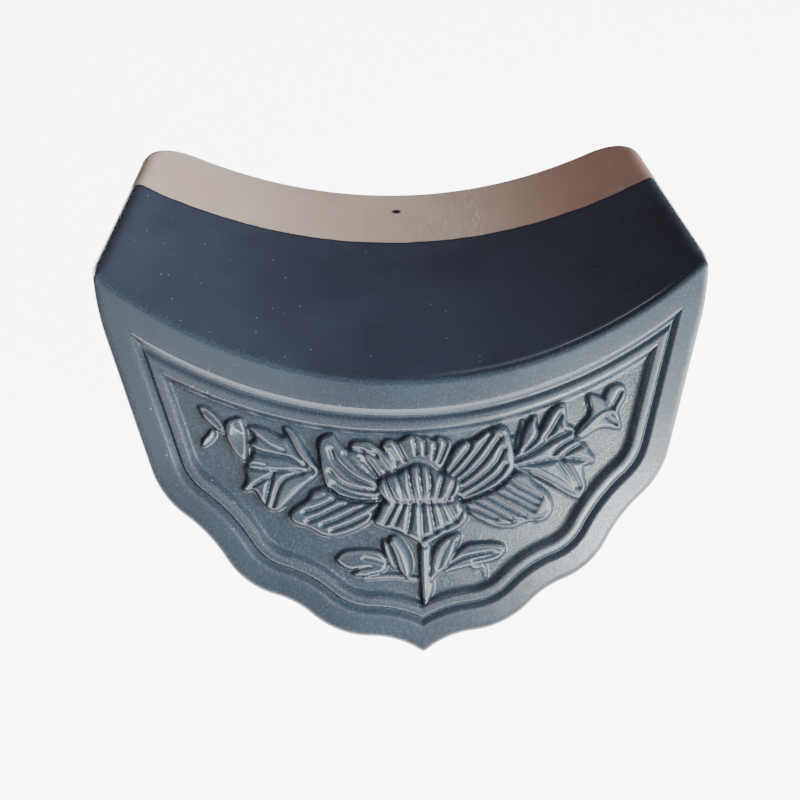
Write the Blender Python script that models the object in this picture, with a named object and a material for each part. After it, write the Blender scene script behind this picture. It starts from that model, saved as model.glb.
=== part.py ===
"""Glazed drip tile: a dished eaves tile whose front turns down into a scalloped face.

One piece of fired clay.  The trough is an arc of a circle running back along Y, open
upward.  The face hangs from the front of the trough and leans forward, with a lobed
lower edge, a stepped border and a peony in low relief.  The origin is the middle of
the flat bedding strip under the trough.  Metres, +Z up, the face looks toward -Y.
"""

from math import acos, asin, cos, pi, radians, sin, sqrt, tan

import bmesh
import bpy
from mathutils import Vector

# ---- Driving sizes, in millimetres and degrees -------------------------------------
MM = 0.001
THICK = 11.0                # the fired clay, in the trough and in the face
ARC_RADIUS = 200.0          # upper surface of the trough
HALF_WIDTH = 110.0          # at the front corners
REAR_HALF_WIDTH = 103.4     # where the two sides would reach the rear edge
LENGTH = 139.5              # fold to rear edge along the middle
REAR_CORNER = 19.0          # rounding of the rear corners, seen from above
FACE_LEAN = 37.0            # the face leans forward of straight down
FOLD_ROUND = 2.5            # how far the rounding of the fold reaches each way
BED_HALF = 10.5             # half the width of the flat bedding strip
BED_MIDDLE = 70.0           # the middle of the strip, behind the fold
RIM_ROUND = 4.0             # rounding of the two long rims
RIM_SPREAD = 3.0            # the rounded rims stand out this much past the front corners
EDGE_ROUND = 1.3            # rounding of the face's outer edge
REAR_ROUND = 1.6            # rounding of the rear edge

# The outline of one side of the face, from the top corner to the middle point, as
# (turn in degrees, radius) for an arc and (0, length) for a straight run.
SIDE_START = 1.5            # heading at the top corner, from straight down
SIDE_RUNS = (
    (14.2, 91.5),           # shoulder
    (0.0, 48.5),            # straight side
    (34.7, 33.5),           # first lobe
    (-21.0, 58.5),          # first cove
    (41.6, 30.5),           # second lobe
    (-25.2, 34.0),          # second cove
    (40.6, 33.0),           # third lobe
)
POINT_RADIUS = 33.5         # hollow curve running down to the middle point
SEGMENT = 4.2               # longest facet along the outline

# The stepped border, as (distance in from the edge, height above the rim face).
BORDER = (
    (8.8, 0.0),             # end of the flat rim
    (10.7, -1.6),           # foot of the groove
    (12.5, -0.5),           # outer edge of the bead
    (14.4, -0.5),           # inner edge of the bead
    (17.6, -4.0),           # foot of the inner wall
)
PANEL = -4.0                # the sunk panel behind the flower
SUNK = -5.6                 # underside of every relief shape, inside the clay
ACROSS = 37                 # facets across the trough
CRISP_SHARE = 0.08          # the rims reach full rounding this far along the trough

LEAN = radians(FACE_LEAN)
BED_RISE = (ARC_RADIUS + THICK) - sqrt((ARC_RADIUS + THICK) ** 2 - BED_HALF ** 2)
BED_LEVEL = BED_RISE - THICK


# ---- Frames ------------------------------------------------------------------------
def place(x, y, z):
    """A point given from the middle of the fold, moved to the bedding strip's frame."""
    return Vector((x, y - BED_MIDDLE, z - BED_LEVEL)) * MM


def on_face(u, v, height=0.0):
    """A point on the face: u to the right, v down the face, height out of it."""
    y = -v * sin(LEAN) - height * cos(LEAN)
    z = -v * cos(LEAN) + height * sin(LEAN)
    return (u, y, z)


def fold_v(u):
    """How far above the fold's middle the fold curve lies at u, as a face v."""
    return -(ARC_RADIUS - sqrt(ARC_RADIUS ** 2 - u * u)) / cos(LEAN)


# ---- Outline of the face -----------------------------------------------------------
def side_outline():
    """Points of the right side, top corner to middle point, with outward normals."""
    u = HALF_WIDTH
    v = fold_v(HALF_WIDTH)
    heading = radians(SIDE_START)
    points = [(u, v, heading)]
    for turn, size in SIDE_RUNS:
        bend = radians(turn)
        length = size if turn == 0.0 else abs(bend) * size
        steps = max(2, round(length / SEGMENT))
        for _ in range(steps):
            middle = heading + bend / (2 * steps)
            u -= sin(middle) * length / steps
            v += cos(middle) * length / steps
            heading += bend / steps
            points.append((u, v, heading))
    steps = 5
    # The last curve is a hollow arc that ends on the middle line.
    end = acos(cos(heading) + u / POINT_RADIUS) if cos(heading) + u / POINT_RADIUS < 1 else 0
    start = heading
    for step in range(1, steps + 1):
        now = start + (end - start) * step / steps
        middle = (heading + now) / 2
        length = POINT_RADIUS * (heading - now)
        u -= sin(middle) * length
        v += cos(middle) * length
        heading = now
        points.append((max(u, 0.0), v, heading))
    points[-1] = (0.0, points[-1][1], heading)
    return [(u, v, cos(h), sin(h)) for u, v, h in points]


def fold_outline():
    """Points of the fold from the left corner to the right, with normals out of the face."""
    span = asin(HALF_WIDTH / ARC_RADIUS)
    points = []
    for step in range(ACROSS + 1):
        u = ARC_RADIUS * sin(span * (2 * step / ACROSS - 1))
        slope = -u / sqrt(ARC_RADIUS ** 2 - u * u) / cos(LEAN)
        length = sqrt(1 + slope * slope)
        points.append((u, fold_v(u), slope / length, -1 / length))
    return points


SIDE = side_outline()
FOLD = fold_outline()


def inset_point(point, distance):
    return (point[0] - point[2] * distance, point[1] - point[3] * distance)


def crossing(distance_top, distance_side):
    """Where the inset of the fold meets the inset of the right side."""
    best = None
    for first, second in zip(SIDE[:-1], SIDE[1:]):
        for part in range(20):
            share = part / 20
            point = [a + (b - a) * share for a, b in zip(first, second)]
            u, v = inset_point(point, distance_side)
            gap = abs(fold_gap(u, v) - distance_top)
            if best is None or gap < best[0]:
                best = (gap, u, v)
    return best[1:]


def fold_gap(u, v):
    """How far below the fold curve a point of the face lies, measured square to it."""
    slope = -u / sqrt(ARC_RADIUS ** 2 - u * u) / cos(LEAN)
    return (v - fold_v(u)) / sqrt(1 + slope * slope)


def face_loop(distance_top, distance_side):
    """A closed loop in from the edge: along the fold left to right, then round below."""
    corner = crossing(distance_top, distance_side)
    top = []
    for point in FOLD:
        u, v = inset_point(point, distance_top)
        if abs(u) > corner[0]:
            u, v = (corner[0] if u > 0 else -corner[0]), corner[1]
        top.append((u, v))
    top[0] = (-corner[0], corner[1])
    top[-1] = corner
    side = []
    for point in SIDE:
        u, v = inset_point(point, distance_side)
        if v < corner[1]:
            u, v = corner
        side.append((max(u, 0.0), v))
    tip = side_tip(distance_side)
    side = [(u, v) if v < tip or u > 0 else (0.0, tip) for u, v in side]
    side[-1] = (0.0, tip)
    left = [(-u, v) for u, v in side]
    return top + side[1:] + left[-2:0:-1]


def side_tip(distance):
    """Where the inset of the side reaches the middle line."""
    last = None
    for point in SIDE:
        u, v = inset_point(point, distance)
        if u <= 0:
            share = last[0] / (last[0] - u)
            return last[1] + (v - last[1]) * share
        last = (u, v)
    return last[1]


# ---- The shell ---------------------------------------------------------------------
RIM_RISE = ARC_RADIUS - sqrt(ARC_RADIUS ** 2 - HALF_WIDTH ** 2)
RIM_FRONT = RIM_RISE * tan(LEAN)


def trough_rows():
    """Rows from the fold to the rear edge, as (share of the length, turn round the corner)."""
    corner_start = (LENGTH - REAR_CORNER - RIM_FRONT) / (LENGTH - RIM_FRONT)
    rows = [(0.0, 0.0), (CRISP_SHARE / 2, 0.0)]
    for step in range(6):
        rows.append((CRISP_SHARE + (corner_start - CRISP_SHARE) * step / 5, 0.0))
    for step in range(1, 6):
        turn = radians(18 * step)
        y = LENGTH - REAR_CORNER * (1 - sin(turn))
        rows.append(((y - RIM_FRONT) / (LENGTH - RIM_FRONT), turn))
    return rows


ROWS = trough_rows()


def rim_round(share, turn):
    """Rounding of the rim: crisp at the fold, full along the trough, small at the rear."""
    front = min(1.0, share / CRISP_SHARE)
    ahead = EDGE_ROUND + (RIM_ROUND - EDGE_ROUND) * front
    return ahead + (REAR_ROUND - ahead) * sin(turn)


def under_fold_v(u):
    """The curve on the back of the face where the trough's under side meets it."""
    rise = ARC_RADIUS - sqrt((ARC_RADIUS + THICK) ** 2 - u * u)
    return -rise / cos(LEAN) - THICK * tan(LEAN)


def under_corner():
    """Where that curve meets the inset side of the back of the face."""
    best = None
    for first, second in zip(SIDE[:-1], SIDE[1:]):
        for part in range(40):
            share = part / 40
            point = [a + (b - a) * share for a, b in zip(first, second)]
            u, v = inset_point(point, EDGE_ROUND)
            gap = abs(under_fold_v(u) - v)
            if best is None or gap < best[0]:
                best = (gap, u)
    return best[1]


UNDER_CORNER = under_corner()


def rim_angle(share, turn, under):
    """Half the angle of the arc that a row spans, short of the rim's rounding."""
    blend = min(1.0, share / CRISP_SHARE)
    width = HALF_WIDTH + (REAR_HALF_WIDTH - HALF_WIDTH) * share
    width += RIM_SPREAD * blend - REAR_CORNER * (1 - cos(turn))
    rounding = rim_round(share, turn)
    radius = ARC_RADIUS + (THICK - rounding if under else rounding)
    angle = asin((width - rounding * cos(turn)) / radius)
    if under:
        angle = angle * blend + asin(UNDER_CORNER / (ARC_RADIUS + THICK)) * (1 - blend)
    return angle


def trough_row(share, turn, under):
    """One row of points across the trough, on its upper or its under side."""
    radius = ARC_RADIUS + (THICK if under else 0.0)
    span = rim_angle(share, turn, under)
    row = []
    for step in range(ACROSS + 1):
        angle = span * (2 * step / ACROSS - 1)
        x = radius * sin(angle)
        z = ARC_RADIUS - radius * cos(angle)
        if under:
            z = max(z, BED_LEVEL)
        front = z * tan(LEAN) + (THICK / cos(LEAN) if under else FOLD_ROUND)
        y = front + (LENGTH - REAR_ROUND - front) * share
        row.append((x, y, z))
    return row


def arc_normal(angle, under):
    sign = -1.0 if under else 1.0
    return Vector((-sin(angle), 0.0, cos(angle))) * sign


def rim_border(share, turn, side):
    """Surface normals at the end of a row, the way out of the rim, and its rounding."""
    above = arc_normal(side * rim_angle(share, turn, False), False)
    below = arc_normal(side * rim_angle(share, turn, True), True)
    out = Vector((side * cos(turn), sin(turn), 0.0))
    return above, below, out, rim_round(share, turn)


def build_shell():
    """The bare tile with its stepped border, as one closed mesh."""
    mesh = bmesh.new()

    def vertices(points):
        return [mesh.verts.new(place(*point)) for point in points]

    def strip(one, two, closed):
        count = len(one)
        for index in range(count if closed else count - 1):
            after = (index + 1) % count
            mesh.faces.new((one[index], one[after], two[after], two[index]))

    # The front of the face, ring by ring, from its rounded edge to the sunk panel.
    first = face_loop(FOLD_ROUND, EDGE_ROUND)
    front_edge = vertices([on_face(u, v) for u, v in first])
    ring = front_edge
    for distance, height in BORDER:
        flat = face_loop(distance, distance)
        following = vertices([on_face(u, v, height) for u, v in flat])
        strip(ring, following, True)
        ring = following
    mesh.faces.new(ring)

    # The trough's two sides, front to rear.
    upper_points = [trough_row(share, turn, False) for share, turn in ROWS]
    upper = [vertices(row) for row in upper_points]
    lower = [vertices(trough_row(share, turn, True)) for share, turn in ROWS]
    for rows in (upper, lower):
        for ahead, behind in zip(rows[:-1], rows[1:]):
            strip(ahead, behind, False)

    # The rounded fold between the trough and the face.
    count = ACROSS + 1
    fold_rows = []
    for share in (0.3, 0.7):
        row = []
        for index in range(count):
            rear = Vector(upper_points[0][index])
            ahead = Vector(on_face(*first[index]))
            middle = (rear.x + ahead.x) / 2
            crest = Vector(on_face(middle, fold_v(middle)))
            point = rear * (1 - share) ** 2 + crest * 2 * share * (1 - share)
            row.append(point + ahead * share ** 2)
        fold_rows.append(vertices(row))
    strip(upper[0], fold_rows[0], False)
    strip(fold_rows[0], fold_rows[1], False)
    strip(fold_rows[1], front_edge[:count], False)

    # The back of the face, which starts where the under side of the trough meets it.
    corner_v = under_fold_v(UNDER_CORNER)
    back_flat = []
    for u, v in face_loop(0.0, EDGE_ROUND)[count:]:
        if v < corner_v + 0.4:
            u, v = (UNDER_CORNER if u > 0 else -UNDER_CORNER), corner_v
        back_flat.append((u, v))
    back_edge = vertices([on_face(u, v, -THICK) for u, v in back_flat])
    mesh.faces.new(lower[0] + back_edge)

    # The border of the upper side matched to the border of the under side: the two
    # points, the surface normals there, the way out, and the rounding.
    border = []
    face_out = Vector(on_face(0.0, 0.0, 1.0))
    for index, (top, bottom) in enumerate(zip(front_edge[count:], back_edge)):
        stop = min(index + 1, 2 * (len(SIDE) - 1) - index - 1)
        sign = 1 if index + 1 < len(SIDE) else -1
        out = Vector(on_face(sign * SIDE[stop][2], SIDE[stop][3]))
        if stop == len(SIDE) - 1:
            out = Vector(on_face(0.0, 1.0))
        border.append((top, bottom, face_out, -face_out, out, EDGE_ROUND))
    for end, side in ((0, -1), (-1, 1)):
        above, below, out, rounding = rim_border(0.0, 0.0, side)
        below = (below - face_out).normalized()
        part = []
        for row, share in ((front_edge[:count], 0.0), (fold_rows[1], 0.35),
                           (fold_rows[0], 0.7), (upper[0], 1.0)):
            normal = (face_out * (1 - share) + above * share).normalized()
            part.append((row[end], lower[0][end], normal, below, out, rounding))
        for number, (share, turn) in list(enumerate(ROWS))[1:]:
            part.append((upper[number][end], lower[number][end],
                         *rim_border(share, turn, side)))
        if side < 0:
            border += part
            span = rim_angle(1.0, pi / 2, False)
            for index in range(1, ACROSS):
                angle = span * (2 * index / ACROSS - 1)
                border.append((upper[-1][index], lower[-1][index],
                               arc_normal(angle, False), arc_normal(angle, True),
                               Vector((0.0, 1.0, 0.0)), REAR_ROUND))
        else:
            border += reversed(part)

    # Bands round the edge, rounded over at the top and at the bottom.
    bands = [[entry[0] for entry in border]]
    for under, share in ((0, 0.5), (0, 1.0), (1, 1.0), (1, 0.5)):
        row = []
        for entry in border:
            normal = entry[2 + under]
            out = entry[4]
            rounding = entry[5]
            centre = entry[under].co - normal * rounding * MM
            facing = normal.slerp(out, share)
            row.append(mesh.verts.new(centre + facing * rounding * MM))
        bands.append(row)
    bands.append([entry[1] for entry in border])
    for above, below in zip(bands[:-1], bands[1:]):
        for index in range(len(border)):
            after = (index + 1) % len(border)
            corners = []
            for vertex in (above[after], above[index], below[index], below[after]):
                if vertex not in corners:
                    corners.append(vertex)
            if len(corners) > 2:
                mesh.faces.new(corners)
    bmesh.ops.remove_doubles(mesh, verts=mesh.verts, dist=0.02 * MM)
    bmesh.ops.triangulate(mesh, faces=mesh.faces)
    bmesh.ops.recalc_face_normals(mesh, faces=mesh.faces)
    return mesh


# ---- The relief --------------------------------------------------------------------
def add_lobe(mesh, base, tip, width, height, bend=0.0, blunt=False):
    """A closed domed shape on the panel: pointed like a leaf, or blunt like a petal rib."""
    base = Vector(base)
    tip = Vector(tip)
    reach = tip - base
    square = Vector((-reach.y, reach.x)).normalized()
    belly = (base + tip) / 2 + square * bend
    rings = []
    for share in (0.16, 0.42, 0.68, 0.88):
        centre = base * (1 - share) ** 2 + belly * 2 * share * (1 - share) + tip * share ** 2
        along = (belly - base) * (1 - share) + (tip - belly) * share
        across = Vector((-along.y, along.x)).normalized()
        if blunt:
            half = width * (0.35 + 0.65 * share) * (1 - share ** 7) / 2
        else:
            half = width * sin(pi * share ** 0.8) ** 0.8 / 2
        top = PANEL + height * (0.72 + 0.28 * sin(pi * share))
        shoulder = PANEL + (top - PANEL) * 0.72
        ring = []
        for offset, level in ((-1.0, SUNK), (-0.66, shoulder), (0.0, top),
                              (0.66, shoulder), (1.0, SUNK)):
            spot = centre + across * half * offset
            ring.append(mesh.verts.new(place(*on_face(spot.x, spot.y, level))))
        rings.append(ring)
    start = mesh.verts.new(place(*on_face(base.x, base.y, SUNK)))
    end = mesh.verts.new(place(*on_face(tip.x, tip.y, SUNK)))
    made = []
    for one, two in zip(rings[:-1], rings[1:]):
        for index in range(5):
            after = (index + 1) % 5
            made.append(mesh.faces.new((one[index], one[after], two[after], two[index])))
    for ring, point in ((rings[0], start), (rings[-1], end)):
        for index in range(5):
            after = (index + 1) % 5
            made.append(mesh.faces.new((ring[index], ring[after], point)))
    bmesh.ops.recalc_face_normals(mesh, faces=made)


def add_fan(mesh, hub, first, last, reaches, width, height):
    """Blunt ribs spread from a hub between two directions, counted from +u towards up."""
    for index, reach in enumerate(reaches):
        share = index / (len(reaches) - 1)
        angle = radians(first + (last - first) * share)
        heading = Vector((cos(angle), -sin(angle)))
        base = Vector(hub) + heading * 3.0
        tip = Vector(hub) + heading * reach
        add_lobe(mesh, base, tip, width, height, blunt=True)


def build_relief():
    mesh = bmesh.new()
    # The peony: four ribbed outer petals, small petals behind, a domed heart, a skirt.
    add_fan(mesh, (10.0, 44.5), 96, 24, (19, 23, 29, 32, 27), 9.5, 3.6)
    add_fan(mesh, (12.0, 45.0), 16, -28, (30, 35, 36, 27), 9.0, 3.4)
    add_fan(mesh, (-9.0, 44.0), 88, 158, (18, 24, 29, 31, 26), 9.5, 3.6)
    add_fan(mesh, (-11.0, 45.0), 166, 207, (28, 33, 33, 26), 9.0, 3.4)
    add_fan(mesh, (0.5, 44.0), 124, 56, (23, 24, 25, 24, 23), 6.5, 3.0)
    add_fan(mesh, (0.3, 47.0), 146, 34, (15, 15, 16, 17, 16, 15, 15), 5.6, 4.8)
    add_fan(mesh, (0.5, 41.0), 222, 318, (15, 14, 15, 17, 15, 14, 16), 5.6, 4.4)
    # The stem, with the leaves on each side of it.
    add_lobe(mesh, (0.8, 54.0), (1.2, 82.5), 4.6, 3.2)
    add_lobe(mesh, (2.0, 76.0), (14.0, 57.5), 5.2, 2.8, bend=-1.5)
    add_lobe(mesh, (3.0, 74.0), (30.0, 62.2), 7.5, 2.8, bend=-1.0)
    add_lobe(mesh, (9.0, 68.5), (24.5, 70.0), 5.0, 2.4, bend=1.0)
    add_lobe(mesh, (0.0, 76.0), (-7.6, 56.5), 5.6, 2.8, bend=1.5)
    add_lobe(mesh, (-5.0, 70.0), (-13.0, 58.5), 5.0, 2.6, bend=-1.0)
    add_lobe(mesh, (-6.0, 69.5), (-30.0, 63.2), 7.0, 2.8, bend=1.5)
    add_lobe(mesh, (-8.0, 69.5), (-25.5, 69.4), 4.6, 2.4, bend=-1.0)
    # The cut leaf on the left, and the sprig beyond it.
    for tip, width in (((-46.8, 14.6), 6.0), ((-60.0, 14.0), 7.0), ((-61.8, 27.5), 6.5),
                       ((-62.0, 36.6), 6.0), ((-53.0, 43.2), 6.0)):
        add_lobe(mesh, (-36.5, 31.5), tip, width, 3.0, bend=1.0)
    add_lobe(mesh, (-61.5, 26.5), (-62.0, 10.4), 5.0, 2.6, bend=-5.0)
    add_lobe(mesh, (-65.5, 15.0), (-76.8, 6.2), 4.6, 2.6)
    add_lobe(mesh, (-66.0, 15.5), (-75.6, 20.4), 4.2, 2.4)
    # The cut leaf on the right, and the bud beyond it.
    for tip, width in (((39.0, 16.8), 5.0), ((45.0, 16.6), 5.0), ((54.6, 10.0), 6.0),
                       ((60.8, 23.0), 7.0), ((65.6, 31.4), 7.0), ((60.0, 44.2), 6.0)):
        add_lobe(mesh, (37.0, 32.5), tip, width, 3.0, bend=-1.0)
    add_lobe(mesh, (56.5, 25.0), (69.5, 14.0), 4.0, 2.4)
    add_lobe(mesh, (68.5, 15.0), (77.0, 6.0), 6.0, 2.8)
    add_lobe(mesh, (71.0, 14.0), (63.8, 7.4), 4.6, 2.6)
    add_lobe(mesh, (69.0, 12.5), (75.6, 19.6), 4.6, 2.6)
    return mesh


# ---- The tile ----------------------------------------------------------------------
def as_object(mesh, name):
    data = bpy.data.meshes.new(name)
    mesh.to_mesh(data)
    mesh.free()
    made = bpy.data.objects.new(name, data)
    bpy.context.scene.collection.objects.link(made)
    return made


def glaze():
    """Slate-blue lead glaze over clay."""
    made = bpy.data.materials.new("slate_glaze")
    made.use_nodes = True
    shader = made.node_tree.nodes["Principled BSDF"]
    shader.inputs["Base Color"].default_value = (0.058, 0.092, 0.128, 1.0)
    shader.inputs["Roughness"].default_value = 0.38
    return made


for old in list(bpy.data.objects):
    bpy.data.objects.remove(old)

tile = as_object(build_shell(), "drip_tile")
relief = as_object(build_relief(), "relief")
relief.hide_render = True
relief.display_type = "WIRE"
join = tile.modifiers.new("relief", "BOOLEAN")
join.operation = "UNION"
join.solver = "EXACT"
join.use_self = True
join.object = relief
tile.data.materials.append(glaze())
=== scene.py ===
"""Glazed drip tile of a Chinese roof: the eaves tile whose lobed face sheds the rain.

The visual model of one fired piece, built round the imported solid.  Lengths are given in
millimetres and turned to metres where a point is placed.
"""

from math import acos, asin, cos, pi, radians, sin, sqrt, tan

import bmesh
import bpy
import numpy as np
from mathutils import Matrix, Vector


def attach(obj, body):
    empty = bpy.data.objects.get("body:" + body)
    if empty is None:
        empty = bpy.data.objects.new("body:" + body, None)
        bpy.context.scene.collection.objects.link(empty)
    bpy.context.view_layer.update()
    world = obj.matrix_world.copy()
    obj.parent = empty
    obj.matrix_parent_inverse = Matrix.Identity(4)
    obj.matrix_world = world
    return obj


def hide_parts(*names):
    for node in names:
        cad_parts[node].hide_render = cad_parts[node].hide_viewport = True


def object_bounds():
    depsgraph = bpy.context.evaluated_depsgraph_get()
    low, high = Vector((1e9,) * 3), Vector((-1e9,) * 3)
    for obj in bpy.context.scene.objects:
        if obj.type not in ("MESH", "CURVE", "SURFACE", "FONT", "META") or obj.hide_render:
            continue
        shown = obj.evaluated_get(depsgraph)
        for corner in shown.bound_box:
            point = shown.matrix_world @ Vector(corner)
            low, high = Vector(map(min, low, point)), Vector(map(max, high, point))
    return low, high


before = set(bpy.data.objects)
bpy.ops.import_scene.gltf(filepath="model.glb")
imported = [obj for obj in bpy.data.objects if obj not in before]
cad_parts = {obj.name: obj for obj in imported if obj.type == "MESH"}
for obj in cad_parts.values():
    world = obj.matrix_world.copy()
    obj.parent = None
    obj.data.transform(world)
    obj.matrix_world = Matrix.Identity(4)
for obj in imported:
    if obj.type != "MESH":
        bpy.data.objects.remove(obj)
cad_box = [list(corner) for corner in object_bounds()]


# ---- The tile ----------------------------------------------------------------------
# One slab of clay pressed over a former: a trough that carries the rain, and a face
# turned down at its front.  The face is trimmed to a lobed outline, and its border is
# run with a groove, a bead and a sloping wall down to a sunk panel.
MM = 0.001
THICK = 11.0                # the fired clay, in the trough and in the face
ARC_RADIUS = 200.0          # upper surface of the trough
HALF_WIDTH = 110.0          # at the front corners
REAR_HALF_WIDTH = 103.4     # where the two sides would reach the rear edge
LENGTH = 139.5              # fold to rear edge along the middle
REAR_CORNER = 19.0          # rounding of the rear corners, seen from above
LEAN = radians(37.0)        # the face leans forward of straight down
FOLD_ROUND = 1.6            # how far the rounding of the fold reaches each way
BED_HALF = 10.5             # half the width of the flat strip it is bedded on
BED_MIDDLE = 70.0           # the middle of that strip, behind the fold
RIM_ROUND = 4.0             # rounding of the two long rims
RIM_SPREAD = 3.0            # the rounded rims stand out this much past the front corners
EDGE_ROUND = 1.3            # rounding of the face's outer edge
REAR_ROUND = 1.6            # rounding of the rear edge
CRISP_SHARE = 0.08          # the rims reach full rounding this far along the trough
BED_RISE = (ARC_RADIUS + THICK) - sqrt((ARC_RADIUS + THICK) ** 2 - BED_HALF ** 2)
BED_LEVEL = BED_RISE - THICK
RIM_RISE = ARC_RADIUS - sqrt(ARC_RADIUS ** 2 - HALF_WIDTH ** 2)
RIM_FRONT = RIM_RISE * tan(LEAN)

# One side of the face, top corner to middle point, as (turn in degrees, radius) for an
# arc and (0, length) for a straight run.
SIDE_START = 1.5            # heading at the top corner, from straight down
SIDE_RUNS = (
    (14.2, 91.5),           # shoulder
    (0.0, 48.5),            # straight side
    (34.7, 33.5),           # first lobe
    (-21.0, 58.5),          # first cove
    (41.6, 30.5),           # second lobe
    (-25.2, 34.0),          # second cove
    (40.6, 33.0),           # third lobe
)
POINT_RADIUS = 33.5         # hollow curve running down to the middle point
POINT_STEPS = 14
SEGMENT = 1.5               # longest facet along the outline
CORNER_SNAP = 0.3           # points of a loop this near its top corner join it
CORNER_PARTS = 60           # parts of a side searched for a loop's top corner
CORNER_TRIES = 20           # places tried along each part
ACROSS = 111                # facets across the trough
ALONG = 34                  # rows of facets down the trough
FIRST_ROW = 0.004           # a first row this share of the length behind the fold
FRONT_ROWS = 5              # steps over which the rims reach their full rounding
CORNER_ROWS = 15            # steps round a rear corner

# The border, as (distance in from the fold, distance in from the sides, height above the
# rim, rounding of that corner).
BORDER = (
    (2.8, 2.8, 0.0, 0.0),       # the flat rim
    (5.8, 5.4, 0.0, 0.0),
    (9.1, 7.4, 0.0, 0.0),
    (9.9, 8.2, 0.0, 0.5),
    (11.9, 10.1, -1.75, 0.5),   # groove
    (13.0, 10.5, -1.75, 0.3),
    (14.5, 11.3, -0.6, 0.5),    # bead
    (15.7, 12.5, -0.6, 0.0),
    (17.2, 13.9, -0.6, 0.6),
    (19.1, 16.0, -4.3, 0.0),    # foot of the wall, just under the panel
)
PANEL = -4.0                # the sunk panel behind the flower
TOP_SKEW = 0.06             # the border's top lines were pressed this share askew...
SKEW_HALF = 65.0            # ...measured this far out from the middle


def place(x, y, z):
    """A point given from the middle of the fold, moved to the frame of the solid."""
    return Vector((x, y - BED_MIDDLE, z - BED_LEVEL)) * MM


def on_face(u, v, height=0.0):
    """A point on the face: u to the right, v down the face, height out of it."""
    return (u, -v * sin(LEAN) - height * cos(LEAN), -v * cos(LEAN) + height * sin(LEAN))


def fold_v(u):
    """How far above the fold's middle the fold curve lies at u, as a face v."""
    return -(ARC_RADIUS - sqrt(ARC_RADIUS ** 2 - u * u)) / cos(LEAN)


def side_outline():
    """The right side, top corner to middle point, as (u, v, outward normal)."""
    u = HALF_WIDTH
    v = fold_v(HALF_WIDTH)
    heading = radians(SIDE_START)
    points = [(u, v, heading)]
    for turn, size in SIDE_RUNS:
        bend = radians(turn)
        length = size if turn == 0.0 else abs(bend) * size
        steps = round(length / SEGMENT)
        for _ in range(steps):
            middle = heading + bend / (2 * steps)
            u -= sin(middle) * length / steps
            v += cos(middle) * length / steps
            heading += bend / steps
            points.append((u, v, heading))
    last = heading
    end = acos(min(1.0, cos(heading) + u / POINT_RADIUS))
    for step in range(1, POINT_STEPS + 1):
        now = last + (end - last) * step / POINT_STEPS
        middle = (heading + now) / 2
        length = POINT_RADIUS * (heading - now)
        u -= sin(middle) * length
        v += cos(middle) * length
        heading = now
        points.append((max(u, 0.0), v, heading))
    points[-1] = (0.0, points[-1][1], heading)
    return [(u, v, cos(h), sin(h)) for u, v, h in points]


def fold_outline():
    """The fold from the left corner to the right, as (u, v, normal out of the face)."""
    span = asin(HALF_WIDTH / ARC_RADIUS)
    points = []
    for step in range(ACROSS + 1):
        u = ARC_RADIUS * sin(span * (2 * step / ACROSS - 1))
        slope = -u / sqrt(ARC_RADIUS ** 2 - u * u) / cos(LEAN)
        length = sqrt(1 + slope * slope)
        points.append((u, fold_v(u), slope / length, -1 / length))
    return points


SIDE = side_outline()
FOLD = fold_outline()
NEAR_CORNER = list(zip(SIDE[:CORNER_PARTS], SIDE[1:]))


def inset_point(point, distance):
    """A point of an outline moved inwards, square to it."""
    return (point[0] - point[2] * distance, point[1] - point[3] * distance)


def askew(distance, u):
    """A distance in from the fold, a little less toward the right corner."""
    out = u / SKEW_HALF
    return distance * (1 - TOP_SKEW * out * (1 + out))


def fold_gap(u, v):
    """How far below the fold a point of the face lies, measured square to it."""
    slope = -u / sqrt(ARC_RADIUS ** 2 - u * u) / cos(LEAN)
    return (v - fold_v(u)) / sqrt(1 + slope * slope)


def closest(gap_at, distance):
    """The point of the right side's inset, near its top corner, where gap_at is least."""
    best = None
    for first, second in NEAR_CORNER:
        for step in range(CORNER_TRIES):
            point = [a + (b - a) * step / CORNER_TRIES for a, b in zip(first, second)]
            u, v = inset_point(point, distance)
            if best is None or gap_at(u, v) < best[0]:
                best = (gap_at(u, v), u, v)
    return best[1:]


def side_tip(distance):
    """Where the inset of the side reaches the middle line."""
    last = None
    for point in SIDE:
        u, v = inset_point(point, distance)
        if u <= 0:
            share = last[0] / (last[0] - u)
            return last[1] + (v - last[1]) * share
        last = (u, v)
    return last[1]


def side_loop(corner, from_side):
    """The inset of the right side, from its top corner to the middle line."""
    tip = side_tip(from_side)
    loop = []
    for point in SIDE:
        u, v = inset_point(point, from_side)
        if v < corner[1]:
            u, v = corner
        if u <= 0:
            u, v = 0.0, tip
        loop.append((u, v))
    loop[-1] = (0.0, tip)
    return loop


def face_loop(from_fold, from_side):
    """A closed loop in from the edge: along the fold left to right, then round below."""
    right = closest(lambda u, v: abs(fold_gap(u, v) - askew(from_fold, u)), from_side)
    left = closest(lambda u, v: abs(fold_gap(u, v) - askew(from_fold, -u)), from_side)
    top = []
    for point in FOLD:
        u, v = inset_point(point, askew(from_fold, point[0]))
        if u > right[0] - CORNER_SNAP:
            u, v = right
        if u < CORNER_SNAP - left[0]:
            u, v = -left[0], left[1]
        top.append((u, v))
    top[0] = (-left[0], left[1])
    top[-1] = right
    left_side = [(-u, v) for u, v in side_loop(left, from_side)]
    return top + side_loop(right, from_side)[1:] + left_side[-2:0:-1]


def rounded(start, corner, end, share):
    """A point some share of the way along the curve that rounds off a corner."""
    return start * (1 - share) ** 2 + corner * 2 * share * (1 - share) + end * share ** 2


ROUNDING_STEPS = (0.0, 0.33, 0.67, 1.0)     # shares of the way round a border's corner


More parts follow.
